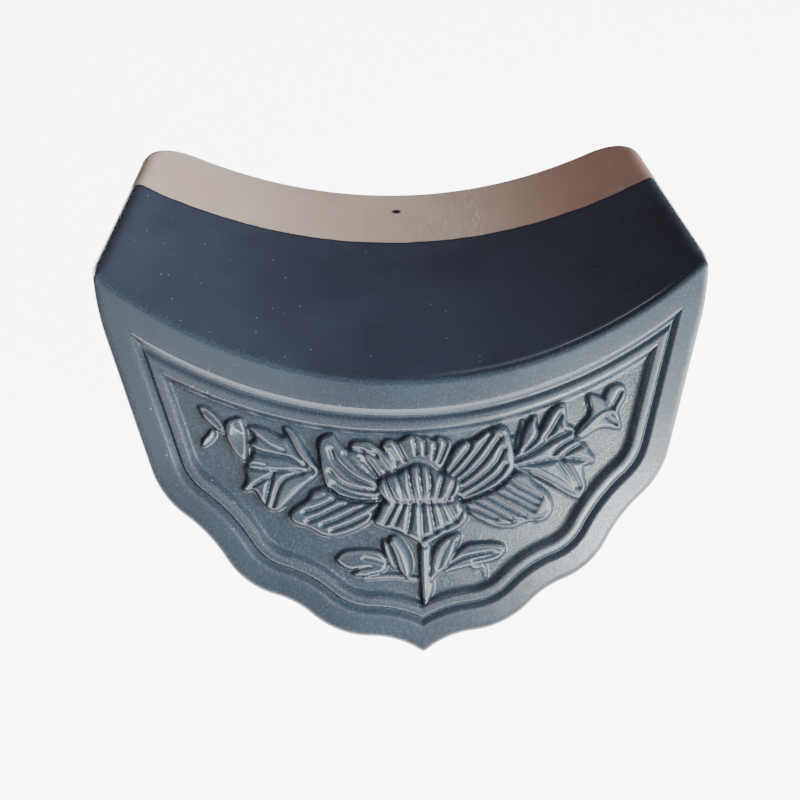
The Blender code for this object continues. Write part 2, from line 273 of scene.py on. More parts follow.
def rounded_profile(corners):
    """The border's profile with its corners rounded, as (from fold, from side, height)."""
    made = [Vector(corners[0][:3])]
    for before, corner, after in zip(corners[:-2], corners[1:-1], corners[2:]):
        here = Vector(corner[:3])
        rounding = corner[3]
        if rounding == 0.0:
            made.append(here)
            continue
        start = here + (Vector(before[:3]) - here).normalized() * rounding
        end = here + (Vector(after[:3]) - here).normalized() * rounding
        made += [rounded(start, here, end, share) for share in ROUNDING_STEPS]
    made.append(Vector(corners[-1][:3]))
    return made


# The mould's halves met just behind the fold.  On the right they left a seam there: the
# trough's front margin is a little lower, from the middle to just short of the corner.
SEAM_FRONT = 1.8            # the seam's slope, from here
SEAM_BACK = 2.1             # to here behind the fold
SEAM_DROP = 0.3
SEAM_GROWS = 40.0           # it reaches its full drop this far right of the middle
SEAM_STOP = 100.0           # and is gone here
SEAM_FADE = 10.0


def trough_rows():
    """Rows from fold to rear edge, as (share of the length, turn round the corner)."""
    corner_start = (LENGTH - REAR_CORNER - RIM_FRONT) / (LENGTH - RIM_FRONT)
    shares = [0.0, FIRST_ROW, SEAM_FRONT / LENGTH, SEAM_BACK / LENGTH]
    shares += [CRISP_SHARE * step / FRONT_ROWS for step in range(1, FRONT_ROWS)]
    for step in range(ALONG + 1):
        shares.append(CRISP_SHARE + (corner_start - CRISP_SHARE) * step / ALONG)
    rows = [(share, 0.0) for share in shares]
    for step in range(1, CORNER_ROWS + 1):
        turn = radians(90 * step / CORNER_ROWS)
        y = LENGTH - REAR_CORNER * (1 - sin(turn))
        rows.append(((y - RIM_FRONT) / (LENGTH - RIM_FRONT), turn))
    return rows


def rim_round(share, turn):
    """Rounding of the rim: crisp at the fold, full along the trough, small at the rear."""
    front = min(1.0, share / CRISP_SHARE)
    ahead = EDGE_ROUND + (RIM_ROUND - EDGE_ROUND) * front
    return ahead + (REAR_ROUND - ahead) * sin(turn)


def under_fold_v(u):
    """The curve on the back of the face where the trough's under side meets it."""
    rise = ARC_RADIUS - sqrt((ARC_RADIUS + THICK) ** 2 - u * u)
    return -rise / cos(LEAN) - THICK * tan(LEAN)


ROWS = trough_rows()
UNDER_CORNER = closest(lambda u, v: abs(under_fold_v(u) - v), EDGE_ROUND)[0]


def rim_angle(share, turn, under):
    """Half the angle of the arc that a row spans, short of the rim's rounding."""
    blend = min(1.0, share / CRISP_SHARE)
    width = HALF_WIDTH + (REAR_HALF_WIDTH - HALF_WIDTH) * share
    width += RIM_SPREAD * blend - REAR_CORNER * (1 - cos(turn))
    rounding = rim_round(share, turn)
    radius = ARC_RADIUS + (THICK - rounding if under else rounding)
    angle = asin((width - rounding * cos(turn)) / radius)
    if under:
        angle = angle * blend + asin(UNDER_CORNER / (ARC_RADIUS + THICK)) * (1 - blend)
    return angle


def trough_row(share, turn, under):
    """One row of points across the trough, on its upper or its under side."""
    radius = ARC_RADIUS + (THICK if under else 0.0)
    span = rim_angle(share, turn, under)
    row = []
    for step in range(ACROSS + 1):
        angle = span * (2 * step / ACROSS - 1)
        z = ARC_RADIUS - radius * cos(angle)
        if under:
            z = max(z, BED_LEVEL)
        front = z * tan(LEAN) + (THICK / cos(LEAN) if under else FOLD_ROUND)
        y = front + (LENGTH - REAR_ROUND - front) * share
        x = radius * sin(angle)
        if not under and share < SEAM_BACK / LENGTH:
            z -= SEAM_DROP * max(0.0, min(1.0, x / SEAM_GROWS, (SEAM_STOP - x) / SEAM_FADE))
        row.append((x, y, z))
    return row


def arc_normal(angle, under):
    """The way out of the trough's upper or under side at an angle from its middle."""
    return Vector((-sin(angle), 0.0, cos(angle))) * (-1.0 if under else 1.0)


def rim_edge(share, turn, side):
    """At the end of a row: the two surface normals, the way out, and the rounding."""
    above = arc_normal(side * rim_angle(share, turn, False), False)
    below = arc_normal(side * rim_angle(share, turn, True), True)
    out = Vector((side * cos(turn), sin(turn), 0.0))
    return above, below, out, rim_round(share, turn)


# The shell's points are laid row by row in code, because its rims, its fold, its border and
# its edge all have to follow one lobed outline, which no operator can run them along.
shell = bmesh.new()


def vertices(points):
    """New points of the shell."""
    return [shell.verts.new(place(*point)) for point in points]


def strip(one, two, closed):
    """A strip of facets between two rows of points."""
    count = len(one)
    for index in range(count if closed else count - 1):
        after = (index + 1) % count
        shell.faces.new((one[index], one[after], two[after], two[index]))


# The front of the face, ring by ring, from its rounded edge to the sunk panel.
first_loop = face_loop(FOLD_ROUND, EDGE_ROUND)
front_edge = vertices([on_face(u, v) for u, v in first_loop])
ring = front_edge
profile = rounded_profile(((FOLD_ROUND, EDGE_ROUND, 0.0, 0.0),) + BORDER)
for from_fold, from_side, height in profile[1:]:
    loop = face_loop(from_fold, from_side)
    following = vertices([on_face(u, v, height) for u, v in loop])
    strip(ring, following, True)
    ring = following
shell.faces.new(ring)

# The trough's two sides, front to rear.
upper_points = [trough_row(share, turn, False) for share, turn in ROWS]
upper = [vertices(row) for row in upper_points]
lower = [vertices(trough_row(share, turn, True)) for share, turn in ROWS]
for rows in (upper, lower):
    for ahead, behind in zip(rows[:-1], rows[1:]):
        strip(ahead, behind, False)

# The rounded fold between the trough and the face.
TOP_POINTS = ACROSS + 1
FOLD_STEPS = (0.16, 0.33, 0.5, 0.67, 0.84)      # shares of the way round it
fold_rows = []
for share in FOLD_STEPS:
    row = []
    for index in range(TOP_POINTS):
        rear = Vector(upper_points[0][index])
        ahead = Vector(on_face(*first_loop[index]))
        middle = (rear.x + ahead.x) / 2
        crest = Vector(on_face(middle, fold_v(middle)))
        row.append(rounded(rear, crest, ahead, share))
    fold_rows.append(vertices(row))
for one, two in zip([upper[0], *fold_rows], [*fold_rows, front_edge[:TOP_POINTS]]):
    strip(one, two, False)

# The back of the face, which starts where the under side of the trough meets it.
UNDER_SNAP = 0.4            # points of the back this near that meeting join its corner
under_v = under_fold_v(UNDER_CORNER)
back_flat = []
for u, v in face_loop(0.0, EDGE_ROUND)[TOP_POINTS:]:
    if v < under_v + UNDER_SNAP:
        u, v = (UNDER_CORNER if u > 0 else -UNDER_CORNER), under_v
    back_flat.append((u, v))
back_edge = vertices([on_face(u, v, -THICK) for u, v in back_flat])
shell.faces.new(lower[0] + back_edge)

# The edge of the upper side matched to the edge of the under side, all the way round: the
# face from right to left, the left rim, the rear edge and the right rim.  Each entry has the
# two points, the surface normals there, the way out, and the rounding.
TIP = len(SIDE) - 1         # the number of the side's last point, at the middle
edge = []
face_out = Vector(on_face(0.0, 0.0, 1.0))
for index, (top, bottom) in enumerate(zip(front_edge[TOP_POINTS:], back_edge), start=1):
    stop = min(index, 2 * TIP - index)
    out_u, out_v = SIDE[stop][2:] if stop < TIP else (0.0, 1.0)
    out = Vector(on_face(out_u if index <= TIP else -out_u, out_v))
    edge.append((top, bottom, face_out, -face_out, out, EDGE_ROUND))
for end, side in ((0, -1), (-1, 1)):
    above, below, out, rounding = rim_edge(0.0, 0.0, side)
    below = (below - face_out).normalized()
    part = []
    rows = [front_edge[:TOP_POINTS], *reversed(fold_rows), upper[0]]
    for number, row in enumerate(rows):
        share = number / (len(rows) - 1)
        normal = (face_out * (1 - share) + above * share).normalized()
        part.append((row[end], lower[0][end], normal, below, out, rounding))
    for number in range(1, len(ROWS)):
        edges = rim_edge(*ROWS[number], side)
        part.append((upper[number][end], lower[number][end], *edges))
    if side > 0:
        edge += reversed(part)
        continue
    edge += part
    span = rim_angle(1.0, pi / 2, False)
    rearward = Vector((0.0, 1.0, 0.0))
    for index in range(1, ACROSS):
        angle = span * (2 * index / ACROSS - 1)
        normals = (arc_normal(angle, False), arc_normal(angle, True))
        edge.append((upper[-1][index], lower[-1][index], *normals, rearward, REAR_ROUND))

# Bands round that edge, rounded over at the top and at the bottom.
EDGE_STEPS = (0.25, 0.5, 0.75, 1.0)     # shares of the way round each rounding
SAME_POINT = 0.02           # points this near each other are one
bands = [[entry[0] for entry in edge]]
for under, steps in ((False, EDGE_STEPS), (True, EDGE_STEPS[::-1])):
    for share in steps:
        band = []
        for top, bottom, above, below, out, rounding in edge:
            vertex, normal = (bottom, below) if under else (top, above)
            centre = vertex.co - normal * rounding * MM
            band.append(shell.verts.new(centre + normal.slerp(out, share) * rounding * MM))
        bands.append(band)
bands.append([entry[1] for entry in edge])
for high, low in zip(bands[:-1], bands[1:]):
    for index in range(len(edge)):
        after = (index + 1) % len(edge)
        corners = []
        for vertex in (high[after], high[index], low[index], low[after]):
            if vertex not in corners:
                corners.append(vertex)
        if len(corners) > 2:
            shell.faces.new(corners)
bmesh.ops.remove_doubles(shell, verts=shell.verts, dist=SAME_POINT * MM)
bmesh.ops.recalc_face_normals(shell, faces=shell.faces)
tile_mesh = bpy.data.meshes.new("glazed_drip_tile")
shell.to_mesh(tile_mesh)
shell.free()
tile = bpy.data.objects.new("glazed_drip_tile", tile_mesh)
bpy.context.scene.collection.objects.link(tile)


# ---- The flower on the panel ---------------------------------------------------------
# A peony with its leaves and a bud, pressed with the tile and sharpened with a bamboo
# knife before firing.  A fine sheet over the panel is raised shape by shape, each laid
# over the ones behind it, then the sheet is closed as a block and joined to the clay.
STEP = 0.4                  # spacing of the sheet's points
SHEET_LEFT = -94.0
SHEET_TOP = -14.0
SHEET_COLUMNS = 471
SHEET_ROWS = 253
MARGIN = 1.0                # the sheet is worked this far beyond a shape
MOAT_WIDTH = 1.6            # the ground round a petal is scraped back this far
KEEL_ROUND = 0.5            # rounding of a keel's crest
KEEL_REACH = 6.0            # a keel's slopes run this far
CORNER_CUT = 0.22           # share of each side that softening takes off a corner
GROOVE_POWER = 1.5          # above 1, a groove's sides ease into the clay
SIDE_POWER = 0.6            # below 1, a shape's side is full and round
RIB_POWER = 0.55            # below 1, a rib is full and round
SETBACK = 0.1               # at a side, what lies behind ends this far below the shape
sheet_u = SHEET_LEFT + STEP * np.arange(SHEET_COLUMNS)
sheet_v = SHEET_TOP + STEP * np.arange(SHEET_ROWS)
grid_u, grid_v = np.meshgrid(sheet_u, sheet_v)
relief = np.zeros(grid_u.shape)


def softened(points, closed):
    """A line with its corners cut twice."""
    line = np.array(points, float)
    for _ in range(2):
        ahead = np.roll(line, -1, 0) if closed else line[1:]
        here = line if closed else line[:-1]
        near = here * (1 - CORNER_CUT) + ahead * CORNER_CUT
        far = here * CORNER_CUT + ahead * (1 - CORNER_CUT)
        cut = np.stack([near, far], 1).reshape(-1, 2)
        line = cut if closed else np.concatenate([line[:1], cut[1:-1], line[-1:]])
    return line


def around(line, margin):
    """The part of the sheet round a line, as rows and columns."""
    low = line.min(0) - margin
    high = line.max(0) + margin
    first_column, last_column = np.searchsorted(sheet_u, (low[0], high[0]))
    first_row, last_row = np.searchsorted(sheet_v, (low[1], high[1]))
    return slice(first_row, last_row), slice(first_column, last_column)


def line_distance(u, v, line, closed):
    """Distance to a line, and what share along it the nearest point is."""
    starts = line if closed else line[:-1]
    ends = np.roll(line, -1, 0) if closed else line[1:]
    lengths = np.hypot(*(ends - starts).T)
    gone = 0.0
    nearest = np.full(u.shape, np.inf)
    along = np.zeros(u.shape)
    for start, end, length in zip(starts, ends, lengths):
        if length == 0.0:
            continue
        way = (end - start) / length
        reach = np.clip((u - start[0]) * way[0] + (v - start[1]) * way[1], 0, length)
        gap = np.hypot(u - start[0] - reach * way[0], v - start[1] - reach * way[1])
        closer = gap < nearest
        nearest = np.where(closer, gap, nearest)
        along = np.where(closer, (gone + reach) / lengths.sum(), along)
        gone += length
    return nearest, along


def within(u, v, line):
    """Which points lie inside a closed line."""
    inside = np.zeros(u.shape, bool)
    for (u0, v0), (u1, v1) in zip(line, np.roll(line, -1, 0)):
        if v0 != v1:
            crosses = (v0 > v) != (v1 > v)
            inside ^= crosses & (u < u0 + (u1 - u0) * (v - v0) / (v1 - v0))
    return inside


def inside_by(u, v, line):
    """How far inside a closed line each point is, and below zero outside it."""
    gap = line_distance(u, v, line, True)[0]
    return np.where(within(u, v, line), gap, -gap)


def stroke(u, v, path, start_half, end_half):
    """How near the middle of a tapering stroke each point is: 1 there, 0 at its sides."""
    gap, along = line_distance(u, v, softened(path, False), False)
    return np.clip(1 - gap / (start_half + (end_half - start_half) * along), 0, 1)


def shape(outline, top, wall=1.3, moat=0.0, tilt=(0.0, 0.0), pivot=(0.0, 0.0), crown=0.0,
          reach=5.0, keels=(), fall=0.4, grooves=()):
    """Raises one leaf or petal over whatever lies behind it.

    top is its height, wall the width of its rounded side, and moat how deep the shapes
    behind are scraped next to it.  It rises by tilt for each millimetre right and down of
    its pivot, domes by crown within reach of its edge, and falls away from its keels by
    fall a millimetre.  A groove is a path, its half width at each end, and its depth.
    """
    line = softened(outline, True)
    part = around(line, MOAT_WIDTH + MARGIN)
    u = grid_u[part]
    v = grid_v[part]
    behind = relief[part]
    inward = inside_by(u, v, line)

    surface = top + tilt[0] * (u - pivot[0]) + tilt[1] * (v - pivot[1])
    surface -= crown * (1 - np.clip(inward / reach, 0, 1)) ** 2
    if keels:
        gaps = [line_distance(u, v, softened(keel, False), False)[0] for keel in keels]
        off_keel = np.hypot(np.min(gaps, 0), KEEL_ROUND) - KEEL_ROUND
        surface -= fall * np.minimum(off_keel, KEEL_REACH)
    for path, start_half, end_half, depth in grooves:
        surface -= depth * stroke(u, v, path, start_half, end_half) ** GROOVE_POWER

    side = 1 - (1 - np.clip(inward / wall, 0, 1)) ** 2
    raised = np.maximum(surface, 0) * side ** SIDE_POWER
    scraped = behind - np.minimum(behind, moat) * np.clip(1 + inward / MOAT_WIDTH, 0, 1)
    meeting = np.maximum(raised, np.minimum(behind, surface - SETBACK))
    covered = np.where(inward > wall, raised, meeting)
    relief[part] = np.maximum(np.where(inward > 0, covered, scraped), 0)


def rib(path, start_half, end_half, start_top, end_top):
    """Lays a round rib along a path, given its half width and height at each end."""
    line = softened(path, False)
    part = around(line, max(start_half, end_half) + MARGIN)
    gap, along = line_distance(grid_u[part], grid_v[part], line, False)
    half = start_half + (end_half - start_half) * along
    top = start_top + (end_top - start_top) * along
    height = top * np.clip(1 - (gap / half) ** 2, 0, 1) ** RIB_POWER
    relief[part] = np.maximum(relief[part], height)


def score(path, start_half, end_half, depth, floor=0.0):
    """Scores a line with the knife, no deeper than a floor."""
    line = softened(path, False)
    part = around(line, max(start_half, end_half) + MARGIN)
    cut = depth * stroke(grid_u[part], grid_v[part], path, start_half, end_half) ** GROOVE_POWER
    relief[part] = np.maximum(relief[part] - cut, np.minimum(relief[part], floor))


# The sprig at the far left: a sepal with its rib, a loose leaf, and a curled tip.
shape(
    [(-62, 10.4), (-64.5, 10.7), (-66.9, 11.4), (-67.7, 13), (-67.6, 17), (-66.6, 19.9),
     (-64.6, 23.7), (-61.3, 26.9), (-60.4, 25.5), (-60, 23.2), (-59.8, 18.8), (-60.4, 14),
     (-61, 11.6)],
    top=3, wall=1.1, fall=0.3,
    keels=[[(-62.4, 11.4), (-65.6, 12), (-66.5, 13.6), (-66.4, 17), (-65.4, 19.8),
            (-63.4, 23.3), (-61.2, 25.6)]]
)
rib([(-65, 12.6), (-65.6, 15.8)], 0.7, 0.5, 3.3, 3.3)
shape(
    [(-77.1, 6), (-75, 6), (-73, 7.1), (-70.5, 9.6), (-68.4, 12.1), (-67.5, 14), (-67.7, 16.5),
     (-69.5, 15.5), (-71, 14.4), (-73, 12.6), (-75.2, 10.2), (-76, 7.6)],
    top=2.4, wall=1,
    grooves=[
        ([(-74.5, 7.9), (-71.8, 10.6), (-69.4, 14)], 1.2, 1.2, 0.7),
    ]
)
shape(
    [(-72.6, 14.2), (-71, 15.3), (-70.7, 17.2), (-72.6, 19.5), (-75.6, 20.9), (-76.1, 19.2),
     (-74.6, 17), (-73.3, 15.8)],
    top=2.8, wall=0.8, tilt=(-0.5, -0.2), pivot=(-74, 17)
)

# The left leaf, with its veins, and the fold along its lower edge.
shape(
    [(-35.4, 29.6), (-36.7, 28), (-39.5, 23.1), (-42, 17.6), (-44.6, 15), (-47.2, 14.1),
     (-47.2, 16.2), (-46.8, 18), (-48.6, 17.9), (-52.3, 15.4), (-55.7, 14.1), (-60.2, 13.7),
     (-59, 15.4), (-57.7, 17.2), (-57.3, 18.6), (-60.1, 20.3), (-59.2, 21.4), (-58, 22.6),
     (-58.4, 23.9), (-59.9, 26.2), (-61.6, 28.6), (-61.1, 30), (-60.8, 33.3), (-62.9, 36.5),
     (-60.9, 37.4), (-58.3, 36.9), (-56.9, 39.8), (-54.7, 43.2), (-52.2, 44.9), (-50.6, 44.6),
     (-48, 43.2), (-43.8, 39.2), (-38.8, 34.6), (-35.8, 32.2), (-34.8, 30.6)],
    top=3.6, wall=1.5, crown=0.6, reach=3.5,
    grooves=[
        ([(-46.5, 16.8), (-45, 20), (-43, 24.4), (-39.5, 28.4)], 1.74, 1.01, 2),
        ([(-58, 15.6), (-54.7, 18.8), (-51.7, 21.3), (-47.4, 23.3)], 1.01, 1.3, 0.9),
        ([(-59.5, 21.6), (-57.3, 22.8), (-54.8, 23.8), (-50.7, 24.6), (-46.5, 25.5),
          (-42.3, 27.9), (-37.5, 30.2)], 1.89, 1.16, 1.9),
        ([(-60.6, 28.5), (-54.8, 29.6), (-50, 30.4), (-44, 30.5), (-37, 31)], 1.3, 1.45, 1.4),
        ([(-60.8, 27.8), (-57.8, 27.3), (-54.2, 28.2)], 1.16, 1.16, 0.8),
        ([(-53, 32.3), (-57, 34.2), (-59.6, 36)], 1.3, 1.3, 1.6),
        ([(-51.6, 31.2), (-52.9, 36), (-54.4, 41.5)], 1.45, 1.59, 1.9),
        ([(-41.3, 31.6), (-45.7, 32.2), (-48.4, 34), (-50.2, 37.2),
          (-52, 42.5)], 1.3, 1.74, 1.6),
    ]
)
shape(
    [(-35, 30.4), (-37.3, 32), (-42.3, 33.2), (-45.9, 35.5), (-48.8, 38.6), (-51.6, 42.6),
     (-52.4, 44.6), (-50.4, 44.9), (-47.6, 43.2), (-43.4, 39.4), (-38.4, 34.9), (-35.4, 32.6)],
    top=3.6, wall=1.2, fall=0.42,
    keels=[[(-35.4, 31), (-37.3, 32.6), (-42.3, 33.8), (-45.9, 36.2), (-48.8, 39.3),
            (-51.4, 43.6)]]
)

# The right leaf, with three tendrils over it, and its veins.
rib([(39.5, 16.3), (38.1, 20.8), (36.4, 25.4)], 0.8, 0.8, 1, 2)
rib([(35.6, 22), (35.9, 23.4)], 0.7, 0.7, 1.2, 1.2)
rib([(37.5, 21.2), (37.2, 22.4)], 0.7, 0.7, 1.2, 1.2)
shape(
    [(35.4, 27.6), (37.4, 24.4), (38.6, 20), (40.4, 16.6), (43.2, 13.9), (44.7, 14.2),
     (44.7, 17), (45.2, 19), (46, 18.2), (47.2, 15.6), (49.2, 12.6), (52.4, 9.8), (55.1, 9.6),
     (55.7, 12), (55.7, 17.6), (58, 18.6), (59.3, 19.6), (58.7, 22), (60.2, 23.6), (61.8, 24.9),
     (63, 25.6), (63.6, 27.3), (66, 30.1), (65.7, 32.5), (62, 33), (61.4, 33.8), (61.8, 37.5),
     (62.5, 40.9), (60.5, 45), (58.8, 45.8), (54.8, 43.9), (50.6, 41), (45.6, 37.7),
     (40.6, 35.2), (36.1, 34.4), (34.8, 32)],
    top=3.7, wall=1.5, crown=0.6, reach=3.5,
    grooves=[
        ([(44.6, 16.8), (45.2, 19.6), (43.4, 23), (39.2, 26.8)], 1.3, 1.01, 1.7),
        ([(53.4, 13.8), (51.4, 17), (49.4, 20.2), (47.4, 22.4)], 1.74, 1.45, 2),
        ([(56.6, 20.3), (51.6, 22.2), (47.8, 23.9), (43.8, 26.6), (40.4, 28.3),
          (35.8, 30.2)], 1.74, 1.45, 2.3),
        ([(52.7, 17.4), (53.3, 19.4), (55, 20)], 0.87, 0.87, 0.9),
        ([(58.9, 22.4), (53.5, 24.9), (50, 28.2)], 1.3, 1.16, 1.7),
        ([(61, 25), (57, 26.7), (53.6, 29.2)], 1.3, 1.16, 1.7),
        ([(36.8, 32.1), (44.2, 31.2), (49.2, 30.3), (54, 30.1), (57, 30.3),
          (62.9, 31.4)], 1.59, 1.59, 1.5),
        ([(53.2, 30.4), (56.9, 35.8), (59.4, 40.8)], 1.3, 2.03, 1.6),
        ([(51.6, 31.8), (55, 36.9), (57.8, 41)], 0.87, 1.16, 0.9),
        ([(37.6, 33.3), (43, 34.5), (47.5, 36.9), (53, 40.3), (59.4, 43.8)], 1.74, 2.17, 1.3),
    ]
)

# The bud at the far right, on its stalk.
shape(
    [(58.2, 23.2), (58.9, 19.9), (61.2, 17.4), (63.7, 14.9), (64.5, 12.4), (63.4, 9.2),
     (63.7, 7.1), (65.2, 6.6), (67, 7.2), (68.8, 8.1), (69.5, 8.6), (70, 7), (71.4, 4.6),
     (74.4, 3.2), (77.1, 3.6), (78.4, 6), (78, 8.8), (76.2, 11.6), (75.3, 13.2), (75.8, 16.5),
     (76.3, 20.6), (73.5, 20.3), (71.7, 19.8), (68.8, 19.6), (65.8, 20.6), (62.7, 22.7),
     (60.5, 23.6)],
    top=2.6, wall=1.3,
    grooves=[
        ([(76.2, 6.2), (72.6, 12.4)], 1.3, 1.3, 1.7),
        ([(70.4, 14.9), (72, 16.6), (74.2, 18.3)], 1.45, 1.45, 1.1),
        ([(69.6, 8.6), (70.6, 10.4), (72.8, 12.6)], 1.16, 1.16, 0.9),
    ]
)
rib([(59.4, 21.9), (61, 20.9), (64.6, 17.6), (67.6, 14.9), (70, 13.7), (72.6, 13.4)],
    1.2, 1.2, 3.1, 3.1)
rib([(72.6, 13.4), (74.2, 15.4), (75, 18.6)], 1, 1, 2.9, 2.9)
score([(58.4, 19.6), (58.5, 22.4), (60.6, 23.6), (64, 24.1)], 0.8, 0.6, 2)

# The stem, with a tendril, and the four leaves at its foot: two tall, two lying.
rib([(-20, 70.9), (-10, 70.6), (-6, 71.5), (-1.5, 72.2)], 1, 1, 0.9, 0.9)
shape(
    [(0, 55), (4.6, 55), (4.5, 60.5), (4, 65), (3.4, 72.2), (4.9, 73.4), (4.3, 77.6),
     (1.6, 82.4), (0.3, 82.4), (-0.3, 76), (-0.3, 66)],
    top=3.4, wall=1.2, fall=0.28,
    keels=[[(1.1, 55), (0.9, 81)]]
)
shape(
    [(3, 73), (3, 68), (4, 63.3), (5.9, 59.8), (9.5, 56.9), (14.2, 55.4), (15.6, 57),
     (14.6, 59.4), (12.8, 64.2), (10.8, 67.8), (6.9, 70.6), (4.2, 73.4)],
    top=3.1, wall=1.6,
    grooves=[
        ([(13.4, 59.3), (12.2, 63.6), (10.2, 66.9)], 0.9, 0.9, 1.8),
        ([(11.4, 58.4), (8.6, 62.4), (6.6, 68)], 1, 1.2, 0.5),
    ]
)
shape(
    [(9.8, 67), (13.2, 63.2), (16.7, 60.4), (20, 59.7), (25, 59.7), (29.2, 60.1), (31.6, 61.6),
     (31.5, 63.9), (29.7, 66), (26, 67.4), (21, 68.2), (16, 69.2), (11.5, 70.2), (8, 71)],
    top=2.9, wall=1.3, tilt=(0, -0.16), pivot=(20, 63),
    grooves=[
        ([(9.8, 67.9), (15.5, 65.2), (20.5, 64.2), (27, 63.4)], 1.1, 0.8, 1.6),
        ([(19.2, 66), (24, 65.4), (28.6, 64)], 0.8, 0.8, 0.8),
    ]
)
rib([(18.3, 66.8), (19, 68.6), (21, 69.1), (23, 68.2), (23.9, 70), (24, 72.4)], 1, 0.7, 1.9, 1)
shape(
    [(-10.9, 56), (-8.1, 55.4), (-4.9, 59.8), (-2.9, 64.4), (-3.2, 68.8), (-4.4, 71.8),
     (-6.4, 70.8), (-8.9, 67.6), (-9.9, 63), (-11.8, 59)],
    top=3.6, wall=1, fall=0.75,
    keels=[[(-10.2, 56.8), (-7.5, 61.6), (-5.9, 66.3), (-4.9, 71)]]
)
shape(
    [(-13.8, 56.8), (-12, 57.4), (-10.4, 59.8), (-9, 64), (-8.1, 68), (-10, 68.4), (-12, 64.8),
     (-13.2, 61)],
    top=3.2, wall=0.9, fall=0.6,
    keels=[[(-12.8, 58.4), (-11.6, 62.8), (-9.6, 67.6)]]
)
score([(-10.7, 59.4), (-9.5, 63.6), (-8.4, 67.8)], 0.7, 0.7, 1.6)
shape(
    [(-30.8, 62.9), (-28.3, 60.5), (-24, 59.8), (-18, 60), (-13.8, 61.2), (-12.2, 63.2),
     (-11.4, 66), (-12.6, 68.4), (-15.8, 70.1), (-20, 70.4), (-24.4, 70.1), (-24.8, 68.4),
     (-22.5, 67.4), (-25, 67.8), (-27.7, 66.6), (-30, 64.8)],
    top=2.6, wall=1.3, tilt=(0, -0.05), pivot=(-20, 64),
    grooves=[
        ([(-20.5, 63), (-15.5, 64.4), (-12, 66.2)], 0.9, 0.9, 0.6),
        ([(-11, 67.3), (-13.5, 69.2), (-18, 69.6)], 0.8, 0.9, 1),
        ([(-24.9, 68.6), (-22, 67), (-18, 66.8)], 0.9, 0.7, 1),
    ]
)

# The flower, from the back: the small scallops above its heart.
shape(
    [(-12.9, 23.2), (-12.3, 21.6), (-10.8, 20.4), (-9, 20.4), (-7.2, 21.2), (-5.2, 20.7),
     (-3.6, 19.5), (-1.2, 19), (1, 19.6), (1.8, 20.2), (4, 20.2), (5.6, 21.3), (6.6, 20.9),
     (8.3, 20.1), (9.9, 20.9), (10.9, 21), (12.6, 21.6), (13.4, 23.6), (12, 27.5), (9.5, 32.5),
     (5, 34), (-8, 34), (-10, 29)],
    top=3.5, wall=1.2, moat=0.3, tilt=(0, -0.13), pivot=(0, 21), crown=0.2,
    grooves=[
        ([(-7.6, 20.6), (-6.2, 24), (-4.1, 28.2)], 1.5, 1, 1.5),
        ([(-1, 18.8), (-0.3, 21.5), (0.1, 26)], 1.3, 0.9, 1.3),
        ([(1.9, 19.8), (3.4, 22), (3.2, 26)], 1.5, 1, 1.4),
        ([(6.1, 20.6), (7.6, 22.5), (6.2, 28)], 1.5, 1, 1.5),
        ([(10.4, 20.6), (11, 23.5), (8.2, 29.5)], 1.5, 1, 1.5),
        ([(-9.6, 24.5), (-7, 28.6)], 1, 1, 0.8),
    ]
)

# The left upper petals, the small one behind.
shape(
    [(-24.4, 24.6), (-23.9, 21.6), (-23, 20.8), (-20.8, 20.5), (-16.9, 20.8), (-15.2, 22),
     (-12.2, 24.3), (-9.9, 26.6), (-6.6, 31.9), (-12, 36), (-24, 34)],
    top=3.3, wall=1.3, moat=0.3, tilt=(0, -0.06), pivot=(-18, 22),
    grooves=[
        ([(-25, 22.8), (-23.2, 23.7), (-20.5, 24.2), (-17, 25.3), (-14.6, 26.6)], 1.4, 1, 1.1),
        ([(-14.9, 25.5), (-13.4, 28.5), (-10.9, 31.8)], 1.6, 1.2, 1.2),
        ([(-19.6, 24.6), (-18.4, 27.9), (-16.9, 30.3), (-14.6, 33.6)], 1.7, 1.2, 1.3),
    ]
)
shape(
    [(-13.2, 42.9), (-17.8, 42.6), (-22.5, 42.3), (-25.5, 41.3), (-28.9, 40.2), (-30.8, 37.9),
     (-32.9, 37.5), (-33.6, 35.6), (-34.2, 32.6), (-34.8, 29.1), (-35.1, 25), (-35.4, 20.9),
     (-35, 19.8), (-33.7, 18.3), (-31.4, 17.6), (-29.2, 17.8), (-28.3, 19.4), (-26.3, 22.4),
     (-24.2, 24), (-21.8, 25.5), (-19, 29.5), (-16, 33), (-13.8, 36)],
    top=4.2, wall=1.4, moat=0.5, tilt=(-0.03, 0), pivot=(-32, 30),
    grooves=[
        ([(-30.6, 23.2), (-29.6, 26.8), (-27.5, 29.4), (-25.5, 31.5), (-23.1, 33.5),
          (-20.8, 35), (-16.6, 36.8), (-14.6, 38.2)], 1.6, 1.3, 1.5),
        ([(-25.2, 24.8), (-22.5, 27.9), (-20.8, 30.3), (-17.8, 32.6),
          (-14.8, 35.2)], 1.6, 1.2, 1.5),
        ([(-31.4, 31), (-29.2, 34.2), (-26.6, 36.1), (-24.6, 37.1), (-21.4, 38.1),
          (-15.4, 39)], 1.6, 1.3, 1.5),
        ([(-30.4, 35.6), (-27.5, 37.7), (-25.2, 38.8), (-21.6, 40.1),
          (-14.6, 41.4)], 1.4, 1.2, 1.4),
    ]
)

